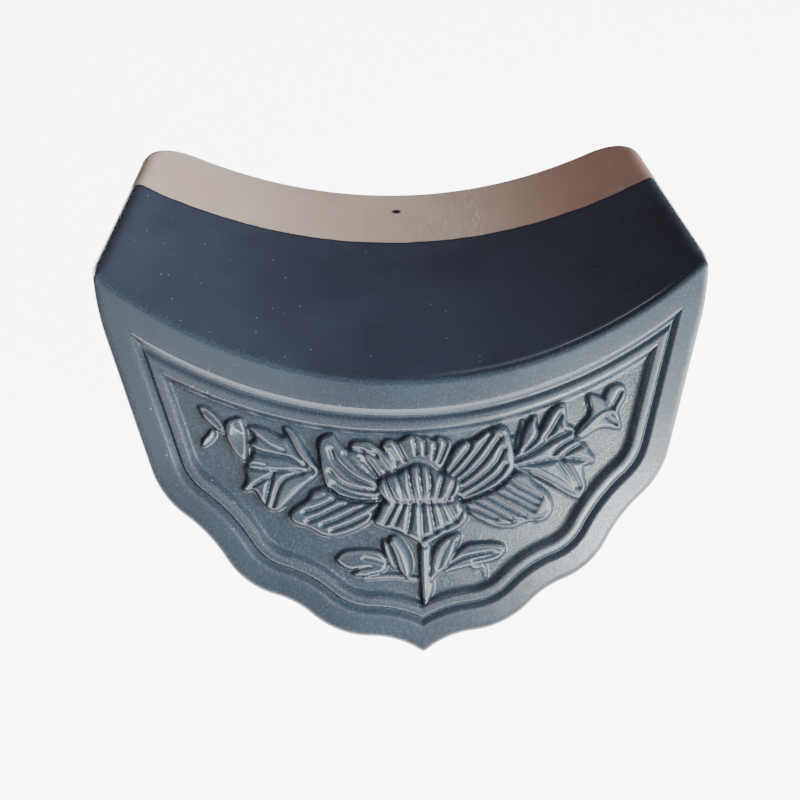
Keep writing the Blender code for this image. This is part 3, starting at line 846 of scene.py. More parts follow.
# The right upper petal, with a line round its rolled edge.
shape(
    [(9.5, 32.5), (10.8, 30), (12, 27.5), (13.5, 25), (15, 23.2), (17.5, 22.1), (20, 22),
     (22, 21.1), (25.1, 19.2), (28.6, 17.7), (31, 16.9), (33.2, 17.7), (34.6, 20.9), (35.6, 25),
     (36, 29), (35.9, 33), (33.8, 36.1), (30.6, 38.5), (27.2, 40.5), (22, 42.4), (16.5, 44.2),
     (13.9, 42.9)],
    top=4.1, wall=1.4, moat=0.5, tilt=(0.04, 0), pivot=(30, 30),
    grooves=[
        ([(19.6, 22), (19.4, 24.8), (15.2, 29.5), (11.6, 33.4)], 1.7, 1.3, 1.6),
        ([(27.2, 19.8), (22.5, 26), (16.8, 32.4), (13.2, 35.2)], 1.8, 1.3, 1.6),
        ([(30.6, 21.2), (28.3, 24.1), (24.5, 29.4), (19.8, 33.8), (14.8, 37.2)], 1.7, 1.3, 1.6),
        ([(31.6, 25.5), (29.2, 30.3), (25.6, 33.8), (20.4, 37.6), (15.4, 40.2)], 1.7, 1.3, 1.6),
        ([(32.2, 31.2), (29.8, 34.7), (25.6, 37.6), (21.8, 40), (18.6, 41.5),
          (15, 43.2)], 1.6, 1.3, 1.5),
    ]
)
score([(32.4, 19.8), (33.6, 23.8), (34.5, 29.1), (34.4, 32.6), (32.9, 35.1), (30.2, 38)],
      0.8, 0.8, 0.45)

# The right lower petal.
shape(
    [(13.8, 44.8), (16.5, 44.4), (22, 42.6), (27.2, 40.8), (30.8, 38.8), (33.1, 36.7),
     (34.3, 35.1), (36.5, 34.1), (39, 34.4), (40.6, 35.4), (42, 37.4), (43.6, 39.3),
     (45.6, 40.5), (47.4, 42.1), (48.9, 44), (49.7, 46.2), (49.7, 48.5), (48.7, 50.7),
     (46.6, 52.7), (44, 53.4), (41, 53), (38.5, 53.5), (35.5, 54.9), (32, 55.3), (28, 54.5),
     (24.5, 53.1), (21, 51.4), (18.3, 48.9), (17, 46.6)],
    top=3.9, wall=1.4, moat=0.5, tilt=(0.01, 0), pivot=(40, 46),
    grooves=[
        ([(33.2, 36.6), (36.2, 39.4), (40.4, 41.5), (44.6, 44.2)], 1.15, 1.15, 1.35),
        ([(31.3, 38.9), (34.5, 41.5), (39, 43.9), (43.4, 46.3)], 1.15, 1.15, 1.35),
        ([(28.3, 40.9), (34.5, 44), (38.5, 46.2), (42, 48.6)], 1.15, 1.15, 1.35),
        ([(24.5, 42.4), (30.4, 46), (34, 48.1), (38.6, 50.6)], 1.15, 1.15, 1.35),
        ([(20.6, 44.1), (25.6, 46.8), (29, 48.9), (33.4, 51.6)], 1.15, 1.15, 1.35),
        ([(16.2, 45.6), (21.2, 47.6), (25.6, 49.7), (28, 51)], 1.15, 1.15, 1.35),
    ]
)
score([(20.4, 50.3), (25.6, 52.4), (30, 53.2), (34.5, 52.9), (40.4, 51.4), (45.6, 50.9),
       (48.1, 49), (48.5, 46.8), (47.5, 43.9)],
      0.9, 0.9, 0.55)

# The left lower petal.
shape(
    [(-13.2, 43.3), (-18, 43.2), (-23, 43), (-26, 42), (-29.2, 40.9), (-31.2, 38.6),
     (-32.6, 38), (-33.8, 36.9), (-36.4, 37.2), (-38.2, 38.1), (-39.2, 40.2), (-40.4, 41.3),
     (-43.2, 43), (-45.3, 44.5), (-46.4, 46.1), (-46.4, 46.9), (-45.6, 48.9), (-43.2, 50.4),
     (-40.5, 51.1), (-39.3, 51.7), (-37.2, 53.1), (-35.2, 54.3), (-32.5, 55.1), (-29.9, 55.2),
     (-26.5, 54.5), (-22, 53), (-17.6, 50.6), (-16.2, 47.5)],
    top=3.9, wall=1.4, moat=0.5, tilt=(-0.01, 0), pivot=(-36, 46),
    grooves=[
        ([(-30, 38.3), (-28.9, 40.6), (-31.4, 42.1), (-34.3, 43.5), (-37.2, 44.6),
          (-40.5, 45.2)], 1, 1.5, 1.6),
        ([(-22, 42.6), (-26.6, 43.5), (-29, 44.5), (-32.5, 46), (-35.8, 47.5),
          (-39.5, 48.6)], 1.4, 1.5, 1.6),
        ([(-17.3, 43.6), (-21.1, 44.9), (-24, 46.4), (-27.2, 47.8), (-30.2, 49.1),
          (-34.5, 50.2)], 1.3, 1.4, 1.5),
        ([(-13.1, 44), (-15.5, 45.8), (-18.4, 47.7), (-21.9, 49.3), (-25.5, 50.8),
          (-31.2, 52.4)], 1.2, 1.3, 1.4),
    ]
)
score([(-33, 37.6), (-32.4, 39.3), (-35, 40.5), (-38.2, 41)], 0.8, 0.8, 0.5)

# The fluted skirt, with its hem.
shape(
    [(-12.4, 41.6), (-15.2, 47.6), (-16.7, 49.8), (-15.9, 51.6), (-13.2, 52.6), (-10, 53.6),
     (-7.4, 54.4), (-4.7, 56.1), (-0.2, 58.9), (1, 59.9), (4.5, 58.9), (9, 56.2), (12, 55.4),
     (15, 54), (18, 51.2), (18.4, 48.5), (16.3, 45.4), (13, 41.6)],
    top=3.9, wall=1.3, moat=0.6, tilt=(0, -0.03), pivot=(0, 50),
    grooves=[
        ([(-7.6, 42.9), (-9.9, 47), (-12.4, 51.2)], 1.6, 1.7, 1.5),
        ([(-5, 43.3), (-6.9, 47.6), (-9.4, 52.8)], 1.4, 1.6, 1.3),
        ([(-2.4, 43.3), (-3, 48.9), (-4.2, 54.6)], 1.5, 1.7, 1.5),
        ([(1.2, 43.3), (1.4, 50.3), (1.5, 56.5)], 1.6, 1.8, 1.5),
        ([(4.2, 43.6), (5.1, 48.9), (5.9, 55)], 1.5, 1.6, 1.5),
        ([(6.7, 43.8), (8.1, 48.1), (9.6, 53.2)], 1.3, 1.4, 1),
        ([(10, 43.8), (11.6, 47.5), (13.4, 51.2)], 1.4, 1.5, 1.3),
    ]
)
score([(-13.5, 51.2), (-10, 52.4), (-7, 53.2), (-4.4, 55), (0.5, 57.8)], 0.7, 0.7, 0.5)
score([(1, 57.2), (5, 55.2), (8, 53.4), (13.5, 51.2), (16, 47.4), (15.2, 45.6)], 1, 0.9, 0.8)

# The fluted heart, and the waist between it and the skirt.
shape(
    [(-12.4, 33.4), (-14.2, 34.9), (-15, 37), (-14.7, 39.5), (-13.3, 41.6), (-11.5, 43.4),
     (-6, 43.9), (0, 44.2), (6, 44.2), (11, 44), (14.2, 42.9), (15.6, 40.4), (16.1, 38.5),
     (15.4, 36.2), (13.4, 34.8), (11.2, 34), (8.7, 33.2), (7, 32.6), (5.6, 31.2), (3.1, 29.9),
     (0.3, 29.3), (-2.4, 29.9), (-4.9, 31), (-6.9, 32.4), (-9.5, 32.7)],
    top=5.1, wall=1.6, moat=0.35, tilt=(0, -0.01), pivot=(0, 36), crown=0.8, reach=6,
    grooves=[
        ([(-12.3, 32.9), (-10.8, 37.6), (-9.4, 41.4), (-8, 44.2)], 1.2, 1.6, 1.6),
        ([(-7.6, 33.6), (-6.1, 38.7), (-5.1, 44)], 1, 1.4, 0.9),
        ([(-3.3, 31), (-2.7, 36.4), (-1.8, 40.9), (-1.5, 44)], 1.1, 1.6, 1.5),
        ([(0.5, 30.5), (1.2, 36.4), (1.7, 40.9), (1.7, 44)], 1.1, 1.6, 1.4),
        ([(4.1, 31.4), (4.9, 35.9), (4.5, 39.2), (3.9, 44)], 1.1, 1.6, 1.4),
        ([(9.5, 34.1), (8.1, 38.7), (6.5, 44)], 1.1, 1.5, 1.4),
        ([(13.9, 35.2), (12.3, 39.8), (9.9, 44)], 1.1, 1.5, 1.4),
    ]
)
score([(-12.6, 43.5), (-5, 43.9), (1, 44.1), (7, 44.1), (13.6, 43.8)], 0.9, 0.9, 0.35, floor=1.5)


def worn(heights):
    """The heights a little softened, as glaze rounds every edge of the clay."""
    padded = np.pad(heights, 1, mode="edge")
    sides = padded[:-2, 1:-1] + padded[2:, 1:-1] + padded[1:-1, :-2] + padded[1:-1, 2:]
    diagonals = padded[:-2, :-2] + padded[2:, 2:] + padded[:-2, 2:] + padded[2:, :-2]
    return (padded[1:-1, 1:-1] * 4 + sides * 2 + diagonals) / 16


# The panel's ground eases up into the border's wall, and a little way beyond its foot.
EASE_RISE = 0.12
EASE_WIDTH = 1.0
wall_foot = np.array(face_loop(*BORDER[-1][:2]))
from_wall = inside_by(grid_u, grid_v, wall_foot) / EASE_WIDTH
relief += EASE_RISE * np.clip(1 - from_wall, 0, 2) ** 2
relief = worn(relief)

# The sheet itself starts as a flat grid from -1 to 1, and each of its points is moved to its
# place and height on the panel.
bpy.ops.object.select_all(action="DESELECT")
bpy.ops.mesh.primitive_grid_add(
    x_subdivisions=SHEET_COLUMNS - 1, y_subdivisions=SHEET_ROWS - 1, size=2.0)
sheet = bpy.context.object
sheet.name = "relief_sheet"
flat = np.empty(len(sheet.data.vertices) * 3)
sheet.data.vertices.foreach_get("co", flat)
flat = flat.reshape(-1, 3)
column_of = np.rint((flat[:, 0] + 1) / 2 * (SHEET_COLUMNS - 1)).astype(int)
row_of = np.rint((flat[:, 1] + 1) / 2 * (SHEET_ROWS - 1)).astype(int)
point_u = sheet_u[column_of]
point_v = sheet_v[row_of]
raised = np.stack(on_face(point_u, point_v, PANEL + relief[row_of, column_of]), 1)
raised += np.array((0.0, -BED_MIDDLE, -BED_LEVEL))
sheet.data.vertices.foreach_set("co", (raised * MM).ravel())

# Only what lies over the panel stays, with a margin that sinks into the border's wall.
SUNK_MARGIN = 1.5
panel_edge = face_loop(BORDER[-1][0] - SUNK_MARGIN, BORDER[-1][1] - SUNK_MARGIN)
over_panel = within(point_u, point_v, np.array(panel_edge))
face_corners = np.empty(len(sheet.data.polygons) * 4, int)
sheet.data.polygons.foreach_get("vertices", face_corners)
spare = ~over_panel[face_corners.reshape(-1, 4)].all(1)
bpy.ops.object.mode_set(mode="EDIT")
bpy.ops.mesh.select_mode(type="FACE")
bpy.ops.mesh.select_all(action="DESELECT")
bpy.ops.object.mode_set(mode="OBJECT")
sheet.data.polygons.foreach_set("select", spare)
bpy.ops.object.mode_set(mode="EDIT")
bpy.ops.mesh.delete(type="FACE")

# The sheet's edge is drawn down into the clay and closed, which makes it a block.
BLOCK_DEPTH = 2.5
bpy.ops.mesh.select_all(action="SELECT")
bpy.ops.mesh.region_to_loop()
down = Vector(on_face(0.0, 0.0, -BLOCK_DEPTH)) * MM
bpy.ops.mesh.extrude_edges_move(TRANSFORM_OT_translate={"value": down})
bpy.ops.mesh.edge_face_add()
bpy.ops.mesh.select_all(action="SELECT")
bpy.ops.mesh.normals_make_consistent(inside=False)
bpy.ops.object.mode_set(mode="OBJECT")


def join_or_cut(operation, other):
    """Joins the other object to the tile, or cuts it away, and removes it."""
    boolean = tile.modifiers.new(other.name, "BOOLEAN")
    boolean.operation = operation
    boolean.solver = "MANIFOLD"
    boolean.object = other
    bpy.ops.object.select_all(action="DESELECT")
    bpy.context.view_layer.objects.active = tile
    tile.select_set(True)
    bpy.ops.object.modifier_apply(modifier=boolean.name)
    bpy.data.objects.remove(other)


SMOOTH_ANGLE = radians(48.0)        # facets that meet at less than this shade as one
join_or_cut("UNION", sheet)
bpy.ops.object.shade_smooth_by_angle(angle=SMOOTH_ANGLE)
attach(tile, "root")
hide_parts("drip_tile")


# ---- Its knocks ----------------------------------------------------------------------
# A pit in the bare clay of the trough and a chip off the rear edge, where a finger or a
# neighbour in the kiln caught it.  Each is bitten out by a small rough ball.
BITE_ROUGHNESS = 0.12       # how far a ball's points stray, as a share of its radius


def knock(name, middle, radius, stretch):
    """Bites a rough hollow out of the tile, in millimetres from the middle of the fold."""
    bpy.ops.object.select_all(action="DESELECT")
    bpy.ops.mesh.primitive_ico_sphere_add(subdivisions=3, radius=radius * MM)
    ball = bpy.context.object
    ball.name = name
    bpy.ops.object.mode_set(mode="EDIT")
    bpy.ops.mesh.select_all(action="SELECT")
    bpy.ops.transform.resize(value=stretch)
    bpy.ops.transform.vertex_random(offset=radius * BITE_ROUGHNESS * MM, seed=4)
    bpy.ops.transform.translate(value=place(*middle))
    bpy.ops.object.mode_set(mode="OBJECT")
    join_or_cut("DIFFERENCE", ball)


knock("pit", (-1.1, 123.9, 0.35), 0.8, (1.0, 1.2, 1.0))
knock("chip", (-0.5, 139.9, 0.2), 1.3, (2.3, 1.0, 0.8))


# ---- How the glaze lies --------------------------------------------------------------
# The glaze draws thin over every edge and pools in every hollow, and it covers only what
# went into the dip.  So each point of the mesh records how sharply the clay bends there,
# outward above zero, and how far below the tile's front and top it lies.
SHORTEST = 0.05             # a shorter edge counts as this long, in millimetres
SHARPEST = 3.0              # and a sharper bend as this sharp
SPREADS = 3                 # passes that spread the bend over the neighbouring points
REACH = 1.0                 # how near a neighbour has to be, in millimetres
count = len(tile.data.vertices)
points = np.empty(count * 3)
tile.data.vertices.foreach_get("co", points)
points = points.reshape(-1, 3) / MM
normals = np.empty(count * 3)
tile.data.vertices.foreach_get("normal", normals)
normals = normals.reshape(-1, 3)
ends = np.empty(len(tile.data.edges) * 2, int)
tile.data.edges.foreach_get("vertices", ends)
ends = ends.reshape(-1, 2)
one = np.concatenate([ends[:, 0], ends[:, 1]])
other = np.concatenate([ends[:, 1], ends[:, 0]])
apart = points[one] - points[other]
length = np.maximum(np.linalg.norm(apart, axis=1), SHORTEST)
edge_bend = np.clip(2 * (normals[one] * apart).sum(1) / length ** 2, -SHARPEST, SHARPEST)
clay_bend = np.bincount(one, edge_bend, count) / np.bincount(one, minlength=count)
near = length < REACH
one = one[near]
other = other[near]
neighbours = np.maximum(np.bincount(one, minlength=count), 1)
for _ in range(SPREADS):
    clay_bend = (clay_bend + np.bincount(one, clay_bend[other], count) / neighbours) / 2

fold_points = points + np.array((0.0, BED_MIDDLE, BED_LEVEL))
below_trough = np.hypot(fold_points[:, 0], fold_points[:, 2] - ARC_RADIUS) - ARC_RADIUS
behind_face = fold_points[:, 1] * cos(LEAN) - fold_points[:, 2] * sin(LEAN)
clay_depth = np.minimum(below_trough, behind_face)
for name, values in (("bend_of_clay", clay_bend), ("depth_in_clay", clay_depth)):
    attribute = tile.data.attributes.new(name, "FLOAT", "POINT")
    attribute.data.foreach_set("value", values.astype(np.float32))


# ---- The finish: satin glaze over bare stoneware ------------------------------------
# Pinkish stoneware dipped in a slate-blue satin glaze that stops short of the rear of the
# trough.  The eye sees a dark blue-grey skin with a broad soft shine, paler and warmer
# where it thins over edges, darker where it pools, and behind it a dry band of clay.
def linear(hexcode):
    """An sRGB hex colour as the linear values that a shader takes."""
    channels = [int(hexcode[i:i + 2], 16) / 255 for i in (1, 3, 5)]
    return [c / 12.92 if c <= 0.04045 else ((c + 0.055) / 1.055) ** 2.4 for c in channels] + [1.0]


finish = bpy.data.materials.new("satin_glazed_stoneware")
finish.use_nodes = True
tree = finish.node_tree
SOFT = {"interpolation_type": "SMOOTHSTEP"}     # for a MapRange that eases in and out
TINT = {"data_type": "RGBA"}        # for a Mix of colours, 6 and 7; one of numbers has 2 and 3


def node(kind, output, inputs, **settings):
    """Adds a node with its settings, and gives one of its outputs.

    Each input, by name or number, takes a value or the output of another node.
    """
    made = tree.nodes.new("ShaderNode" + kind)
    for key, value in settings.items():
        setattr(made, key, value)
    for key, value in inputs.items():
        if isinstance(value, bpy.types.NodeSocket):
            tree.links.new(value, made.inputs[key])
        else:
            made.inputs[key].default_value = value
    return made.outputs[output]


# Patterns, each by the size of its grain in millimetres.
spot = node("TexCoord", "Object", {})
cloud = node("TexNoise", "Fac", {"Vector": spot, "Scale": 1000 / 42.0, "Detail": 3.0})
mottle = node("TexNoise", "Fac",
              {"Vector": spot, "Scale": 1000 / 0.8, "Detail": 4.0, "Roughness": 0.6})
grain = node("TexNoise", "Fac",
             {"Vector": spot, "Scale": 1000 / 0.9, "Detail": 3.0, "Roughness": 0.7})
waves = node("TexNoise", "Fac", {"Vector": spot, "Scale": 1000 / 14.0, "Detail": 2.0})
peel = node("TexNoise", "Fac", {"Vector": spot, "Scale": 1000 / 1.6, "Detail": 2.0})
tremor = node("TexNoise", "Fac", {"Vector": spot, "Scale": 1000 / 9.0, "Detail": 3.0})
patches = node("TexNoise", "Fac", {"Vector": spot, "Scale": 1000 / 30.0, "Detail": 3.0})
bend = node("Attribute", "Fac", {}, attribute_name="bend_of_clay")
depth = node("Attribute", "Fac", {}, attribute_name="depth_in_clay")
along = node("SeparateXYZ", "Y", {0: spot})
across = along.node.outputs["X"]

# Where the dip ended: a line across the trough, a little unsteady, and low on the edges.
GLAZE_LINE = (96.4 - BED_MIDDLE) * MM
unsteady = node("Math", 0, {0: tremor, 1: 1.6 * MM, 2: -0.8 * MM}, operation="MULTIPLY_ADD")
past_line = node("Math", 0, {0: along, 1: unsteady}, operation="ADD")
above_line = node("MapRange", 0, {"Value": past_line, "From Min": GLAZE_LINE + 0.12 * MM,
                                  "From Max": GLAZE_LINE - 0.12 * MM}, **SOFT)
run = node("Math", 0, {0: cloud, 1: 2.0, 2: depth}, operation="MULTIPLY_ADD")
in_dip = node("MapRange", 0, {"Value": run, "From Min": 10.0, "From Max": 9.6}, **SOFT)
glazed = node("Math", 0, {0: above_line, 1: in_dip}, operation="MULTIPLY")

# The panel's ground, which sand from the mould left rough.  The flower stands above it.
GROUND_DEPTH = -PANEL - 0.6
ground = node("MapRange", 0, {"Value": depth, "From Min": GROUND_DEPTH,
                              "From Max": GROUND_DEPTH + 0.5}, **SOFT)

# The trough is what lies behind the face's plane, except for the face's own hollows.  It
# is smooth, so its mottle is calm, where the face's shows fully.
FACE_PLANE = (BED_LEVEL * sin(LEAN) - BED_MIDDLE * cos(LEAN)) * MM
behind = node("VectorMath", "Value", {0: spot, 1: (0.0, cos(LEAN), -sin(LEAN))},
              operation="DOT_PRODUCT")
behind_plane = node("MapRange", 0, {"Value": behind, "From Min": FACE_PLANE + 1.0 * MM,
                                    "From Max": FACE_PLANE + 4.0 * MM}, **SOFT)
uncarved = node("MapRange", 0, {"Value": depth, "From Min": 0.8, "From Max": 0.3}, **SOFT)
inside = node("Math", 0, {0: behind_plane, 1: uncarved}, operation="MULTIPLY")
calm = node("Math", 0, {0: inside, 1: 0.8}, operation="MULTIPLY")
skin_mottle = node("Mix", 0, {0: calm, 2: mottle, 3: 0.5})

# The glaze: two close slate blues in clouds, with sand showing through it as flecks on the
# panel's ground.  Painted shade makes it a little more violet in the trough, which lies in
# low light, and darker on the sunk ground, which lies in shade.
SHADE_VIOLET = (1.06, 0.92, 1.04, 1.0)        # the slate is multiplied by this
clouded = node("MapRange", 0, {"Value": cloud, "From Min": 0.3, "From Max": 0.7}, **SOFT)
slate = node("Mix", 2, {0: clouded, 6: linear("#343c46"), 7: linear("#3c4651")}, **TINT)
# Painted shade: the trough's slate is tinted violet, as it looks in low light.
slate = node("Mix", 2, {0: inside, 6: slate, 7: SHADE_VIOLET}, blend_type="MULTIPLY", **TINT)
# Painted shade: the sunk panel's ground is darkened toward a deep slate.
ground_shade = node("Math", 0, {0: ground, 1: 0.45}, operation="MULTIPLY")
slate = node("Mix", 2, {0: ground_shade, 6: slate, 7: linear("#252d38")}, **TINT)
sandy = node("MapRange", 0, {"Value": grain, "From Min": 0.45, "From Max": 0.7,
                             "To Max": 0.32}, **SOFT)
flecks = node("Math", 0, {0: sandy, 1: ground}, operation="MULTIPLY")
slate = node("Mix", 2, {0: flecks, 6: slate, 7: linear("#66717e")}, **TINT)

# A fine mottle of paler and darker glaze lies over all of it.
paler = node("MapRange", 0, {"Value": skin_mottle, "From Min": 0.38, "From Max": 0.7,
                             "To Max": 0.12}, **SOFT)
slate = node("Mix", 2, {0: paler, 6: slate, 7: linear("#57606b")}, **TINT)
darker = node("MapRange", 0, {"Value": skin_mottle, "From Min": 0.55, "From Max": 0.3,
                              "To Max": 0.2}, **SOFT)
slate = node("Mix", 2, {0: darker, 6: slate, 7: linear("#2b343e")}, **TINT)

# It thins to a warm grey on edges, in a broken line, most of all on the carving.  It pools
# dark in hollows, and its own edge across the trough is a dark bead.
on_edges = node("MapRange", 0, {"Value": bend, "From Min": 0.04, "From Max": 0.5,
                                "To Max": 0.6}, **SOFT)
broken = node("MapRange", 0, {"Value": mottle, "From Min": 0.3, "From Max": 0.6,
                              "To Min": 0.5}, **SOFT)
carved = node("MapRange", 0, {"Value": depth, "From Min": 0.7, "From Max": 1.4,
                              "To Min": 0.35}, **SOFT)
thin = node("Math", 0, {0: on_edges, 1: broken}, operation="MULTIPLY")
thin = node("Math", 0, {0: thin, 1: carved}, operation="MULTIPLY")
slate = node("Mix", 2, {0: thin, 6: slate, 7: linear("#7f7b7f")}, **TINT)
pooled = node("MapRange", 0, {"Value": bend, "From Min": -0.08, "From Max": -0.9,
                              "To Max": 0.15}, **SOFT)
slate = node("Mix", 2, {0: pooled, 6: slate, 7: linear("#191c23")}, **TINT)
bead = node("MapRange", 0, {"Value": past_line, "From Min": GLAZE_LINE - 1.2 * MM,
                            "From Max": GLAZE_LINE - 0.4 * MM, "To Max": 0.55}, **SOFT)
slate = node("Mix", 2, {0: bead, 6: slate, 7: linear("#1d222a")}, **TINT)

# Pale specks of ash and grit, about half a millimetre across, and rarer toward the right.
specks = node("TexVoronoi", "Distance", {"Vector": spot, "Scale": 1000 / 5.0})
speck_chance = node("SeparateColor", 0, {0: specks.node.outputs["Color"]})
rarity = node("MapRange", 0, {"Value": across, "From Min": -70 * MM, "From Max": 20 * MM,
                              "To Min": 0.35, "To Max": 0.75})
landed = node("Math", 0, {0: speck_chance, 1: rarity}, operation="GREATER_THAN")
speck = node("MapRange", 0, {"Value": specks, "From Min": 0.07, "From Max": 0.035,
                             "To Max": 0.6}, **SOFT)
speck = node("Math", 0, {0: speck, 1: landed}, operation="MULTIPLY")
slate = node("Mix", 2, {0: speck, 6: slate, 7: linear("#b9bdc0")}, **TINT)

# The clay: dry and pinkish, with a grain, painted paler on the left where sheen falls on it,
# and browner toward the right, which lies in shade.
patchy = node("MapRange", 0, {"Value": patches, "From Min": 0.35, "From Max": 0.7}, **SOFT)
clay = node("Mix", 2, {0: patchy, 6: linear("#d5baa9"), 7: linear("#cdaf9e")}, **TINT)
# Painted shade: toward the right the clay turns browner and darker.
painted_shade_right = node("MapRange", 0, {"Value": across, "From Min": 14 * MM,
                               "From Max": 90 * MM}, **SOFT)
clay = node("Mix", 2, {0: painted_shade_right, 6: clay, 7: linear("#b98f7f")}, **TINT)
dark_grains = node("MapRange", 0, {"Value": grain, "From Min": 0.5, "From Max": 0.8,
                                   "To Max": 0.3}, **SOFT)
clay = node("Mix", 2, {0: dark_grains, 6: clay, 7: linear("#a08276")}, **TINT)
pale_grains = node("MapRange", 0, {"Value": mottle, "From Min": 0.55, "From Max": 0.8,
                                   "To Max": 0.25}, **SOFT)
clay = node("Mix", 2, {0: pale_grains, 6: clay, 7: linear("#dccbc3")}, **TINT)

# Where tiles slid over each other the clay is rubbed pale in streaks, drawn out along the
# tile, and most of all in one band right of the middle.
RUB = 33 * MM
drawn_out = node("VectorMath", 0, {0: spot, 1: (1.0, 0.2, 1.0)}, operation="MULTIPLY")
scratches = node("TexNoise", "Fac", {"Vector": drawn_out, "Scale": 1000 / 1.4, "Detail": 3.0})
streaks = node("MapRange", 0, {"Value": scratches, "From Min": 0.45,
                               "From Max": 0.65}, **SOFT)
right_of_rub = node("Math", 0, {0: across, 1: RUB}, operation="SUBTRACT")
from_rub = node("Math", 0, {0: right_of_rub}, operation="ABSOLUTE")
in_rub = node("MapRange", 0, {"Value": from_rub, "From Min": 5 * MM, "From Max": 2 * MM,
                              "To Max": 0.6}, **SOFT)
scuffed = node("MapRange", 0, {"Value": cloud, "From Min": 0.52, "From Max": 0.7,
                               "To Max": 0.3}, **SOFT)
worn_area = node("Math", 0, {0: in_rub, 1: scuffed}, operation="MAXIMUM")
rubbed = node("Math", 0, {0: worn_area, 1: streaks}, operation="MULTIPLY")
clay = node("Mix", 2, {0: rubbed, 6: clay, 7: linear("#e6dcd2")}, **TINT)

# At the middle it has one nick, sunk by the bump, and painted dark inside as its shade.
NICK = place(-1.2, 123.5, 0.0)
NICK_SIZE = (2.1 * MM, 1.7 * MM)        # half its width and half its length
from_nick = node("VectorMath", 0, {0: spot, 1: NICK}, operation="SUBTRACT")
from_nick = node("VectorMath", 0, {0: from_nick, 1: (1 / NICK_SIZE[0], 1 / NICK_SIZE[1], 0.0)},
                 operation="MULTIPLY")
from_nick = node("VectorMath", "Value", {0: from_nick}, operation="LENGTH")
nick_and_its_shade = node("MapRange", 0, {"Value": from_nick, "From Min": 1.2, "From Max": 0.6}, **SOFT)
# Painted shade: the inside of the nick is darkened.
clay = node("Mix", 2, {0: nick_and_its_shade, 6: clay, 7: linear("#2e211d")}, **TINT)
colour = node("Mix", 2, {0: glazed, 6: clay, 7: slate}, **TINT)

# Satin on the glaze, a little glossier on the thick ground, and matt on the clay.
MATT = 0.85
satin = node("MapRange", 0, {"Value": skin_mottle, "From Min": 0.3, "From Max": 0.7,
                             "To Min": 0.22, "To Max": 0.29}, **SOFT)
satin = node("Math", 0, {0: ground, 1: -0.025, 2: satin}, operation="MULTIPLY_ADD")
sheen = node("Mix", 0, {0: glazed, 2: MATT, 3: satin})

# The skin, as heights in millimetres: the glaze has faint waves, an orange peel, sand
# under it on the ground and a few pinholes, and stands a lip proud of the grainy clay.
LIP = 0.25
NICK_DEPTH = 0.8
skin = node("Math", 0, {0: waves, 1: 0.07}, operation="MULTIPLY")
skin = node("Math", 0, {0: peel, 1: 0.03, 2: skin}, operation="MULTIPLY_ADD")
sand = node("Math", 0, {0: grain, 1: ground}, operation="MULTIPLY")
skin = node("Math", 0, {0: sand, 1: 0.09, 2: skin}, operation="MULTIPLY_ADD")
pins = node("TexVoronoi", "Distance", {"Vector": spot, "Scale": 1000 / 3.1})
pin_chance = node("SeparateColor", 1, {0: pins.node.outputs["Color"]})
burst = node("Math", 0, {0: pin_chance, 1: 0.72}, operation="GREATER_THAN")
pinhole = node("MapRange", 0, {"Value": pins, "From Min": 0.1, "From Max": 0.04,
                               "To Max": -0.1}, **SOFT)
skin = node("Math", 0, {0: pinhole, 1: burst, 2: skin}, operation="MULTIPLY_ADD")
proud = node("Math", 0, {0: skin, 1: LIP}, operation="ADD")
dry = node("Math", 0, {0: grain, 1: 0.12}, operation="MULTIPLY")
dry = node("Math", 0, {0: nick_and_its_shade, 1: -NICK_DEPTH, 2: dry}, operation="MULTIPLY_ADD")
skin = node("Mix", 0, {0: glazed, 2: dry, 3: proud})
bumped = node("Bump", 0, {"Height": skin, "Strength": 1.0, "Distance": MM})

shader = tree.nodes["Principled BSDF"]
shader.inputs["IOR"].default_value = 1.52       # a glassy glaze
tree.links.new(colour, shader.inputs["Base Color"])
tree.links.new(sheen, shader.inputs["Roughness"])
tree.links.new(bumped, shader.inputs["Normal"])
tile.data.materials.clear()
tile.data.materials.append(finish)


# ---- The floor -----------------------------------------------------------------------
# A plain white studio table of acrylic, lit from below, so that the tile throws no shadow
# on it.  The tile's glaze mirrors it, but it is kept from lighting the clay: soft light
# from below would fill the hollows of the relief.
FLOOR_GAP = 0.12            # the table is this far below the tile, in metres
FLOOR_SIZE = 8.0
FLOOR_GLOW = 8.0
bpy.ops.object.select_all(action="DESELECT")
bpy.ops.mesh.primitive_plane_add(size=FLOOR_SIZE)
floor = bpy.context.object
floor.name = "studio_floor"
bpy.ops.object.mode_set(mode="EDIT")
bpy.ops.mesh.select_all(action="SELECT")
bpy.ops.transform.translate(value=(0.0, 0.0, cad_box[0][2] - FLOOR_GAP))
bpy.ops.object.mode_set(mode="OBJECT")
backlit = bpy.data.materials.new("backlit_white_acrylic")
backlit.use_nodes = True
acrylic = backlit.node_tree.nodes["Principled BSDF"]
acrylic.inputs["Base Color"].default_value = linear("#ececec")
acrylic.inputs["Roughness"].default_value = 0.9
acrylic.inputs["Emission Color"].default_value = linear("#ffffff")
acrylic.inputs["Emission Strength"].default_value = FLOOR_GLOW
floor.data.materials.append(backlit)
floor.visible_diffuse = False


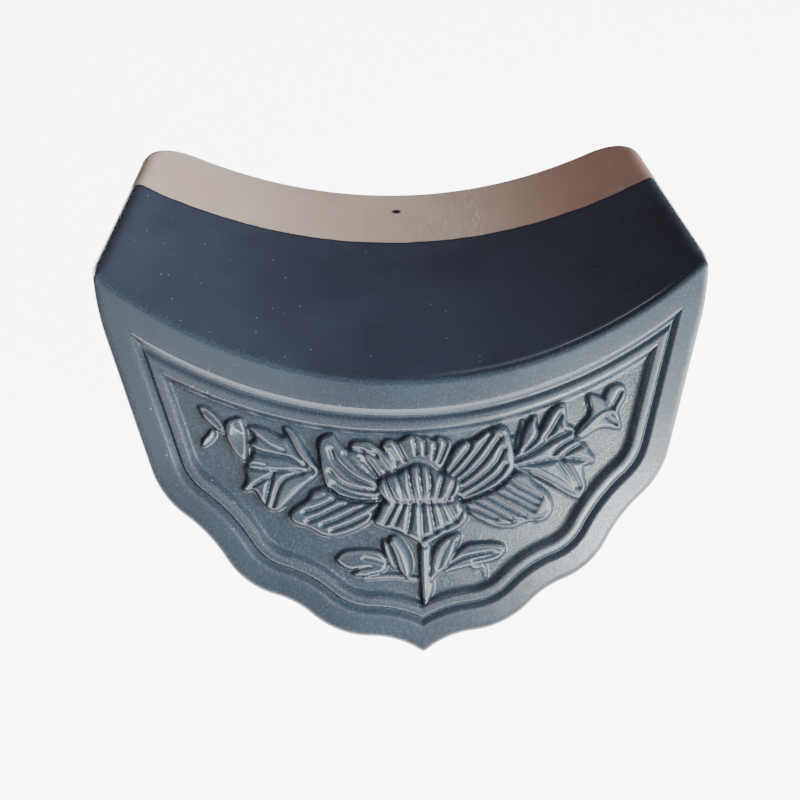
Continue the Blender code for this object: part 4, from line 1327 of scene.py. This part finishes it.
# ---- The light -----------------------------------------------------------------------
# Six soft lamps in a dim, warm room.  A large key, low on the right, throws the relief's
# shadows leftward.  The others are weak, and most are there for the shine that the satin
# glaze gives back.  All of them face the tile.
LAMPS = (   # name, place in metres, width, height, watts, colour
    ("key", (0.90, -0.78, 0.30), 0.8, 0.8, 35.0, (0.87, 0.97, 1.0)),
    ("side", (1.5, 0.1, 0.25), 1.0, 0.9, 5.0, (0.90, 0.97, 1.0)),               # right rim
    ("card", (0.340, -1.016, 0.420), 0.19, 0.15, 7.2, (0.93, 1.0, 1.0)),        # face, right
    ("high_card", (0.36, -1.016, 0.80), 0.4, 0.2, 0.8, (0.90, 0.98, 1.0)),      # face, right
    ("window", (-0.28, -1.016, 0.74), 0.45, 0.36, 1.3, (0.88, 0.97, 1.0)),      # face, left
    ("sky", (0.95, 2.0, 1.15), 0.9, 0.9, 0.52, (0.62, 0.73, 1.0)),              # trough
)
ROOM_TINT = (1.0, 0.74, 0.77, 1.0)
ROOM_LIGHT = 0.09
for name, position, width, height, watts, tint in LAMPS:
    area = bpy.data.lights.new(name, "AREA")
    area.shape = "RECTANGLE"
    area.size = width
    area.size_y = height
    area.energy = watts
    area.color = tint
    lamp = bpy.data.objects.new(name, area)
    lamp.location = position
    lamp.rotation_euler = (-Vector(position)).to_track_quat("-Z", "Y").to_euler()
    bpy.context.scene.collection.objects.link(lamp)
room = bpy.data.worlds.new("dim_warm_room")
room.use_nodes = True
room.node_tree.nodes["Background"].inputs["Color"].default_value = ROOM_TINT
room.node_tree.nodes["Background"].inputs["Strength"].default_value = ROOM_LIGHT
bpy.context.scene.world = room


# ---- The camera ----------------------------------------------------------------------
# It looks down on the tile from in front and a little to its left.
CAMERA_PLACE = place(-16.7, -296.4, 233.5)
CAMERA_TURN = (49.78, -2.26, -6.01)     # degrees
eye = bpy.data.cameras.new("camera")
eye.lens = 47.25                        # millimetres, as is the sensor
eye.sensor_width = 36.0
eye.shift_x = -0.1
eye.shift_y = 0.025
eye.clip_start = 0.01
camera = bpy.data.objects.new("camera", eye)
camera.location = CAMERA_PLACE
camera.rotation_euler = [radians(angle) for angle in CAMERA_TURN]
bpy.context.scene.collection.objects.link(camera)
bpy.context.scene.camera = camera
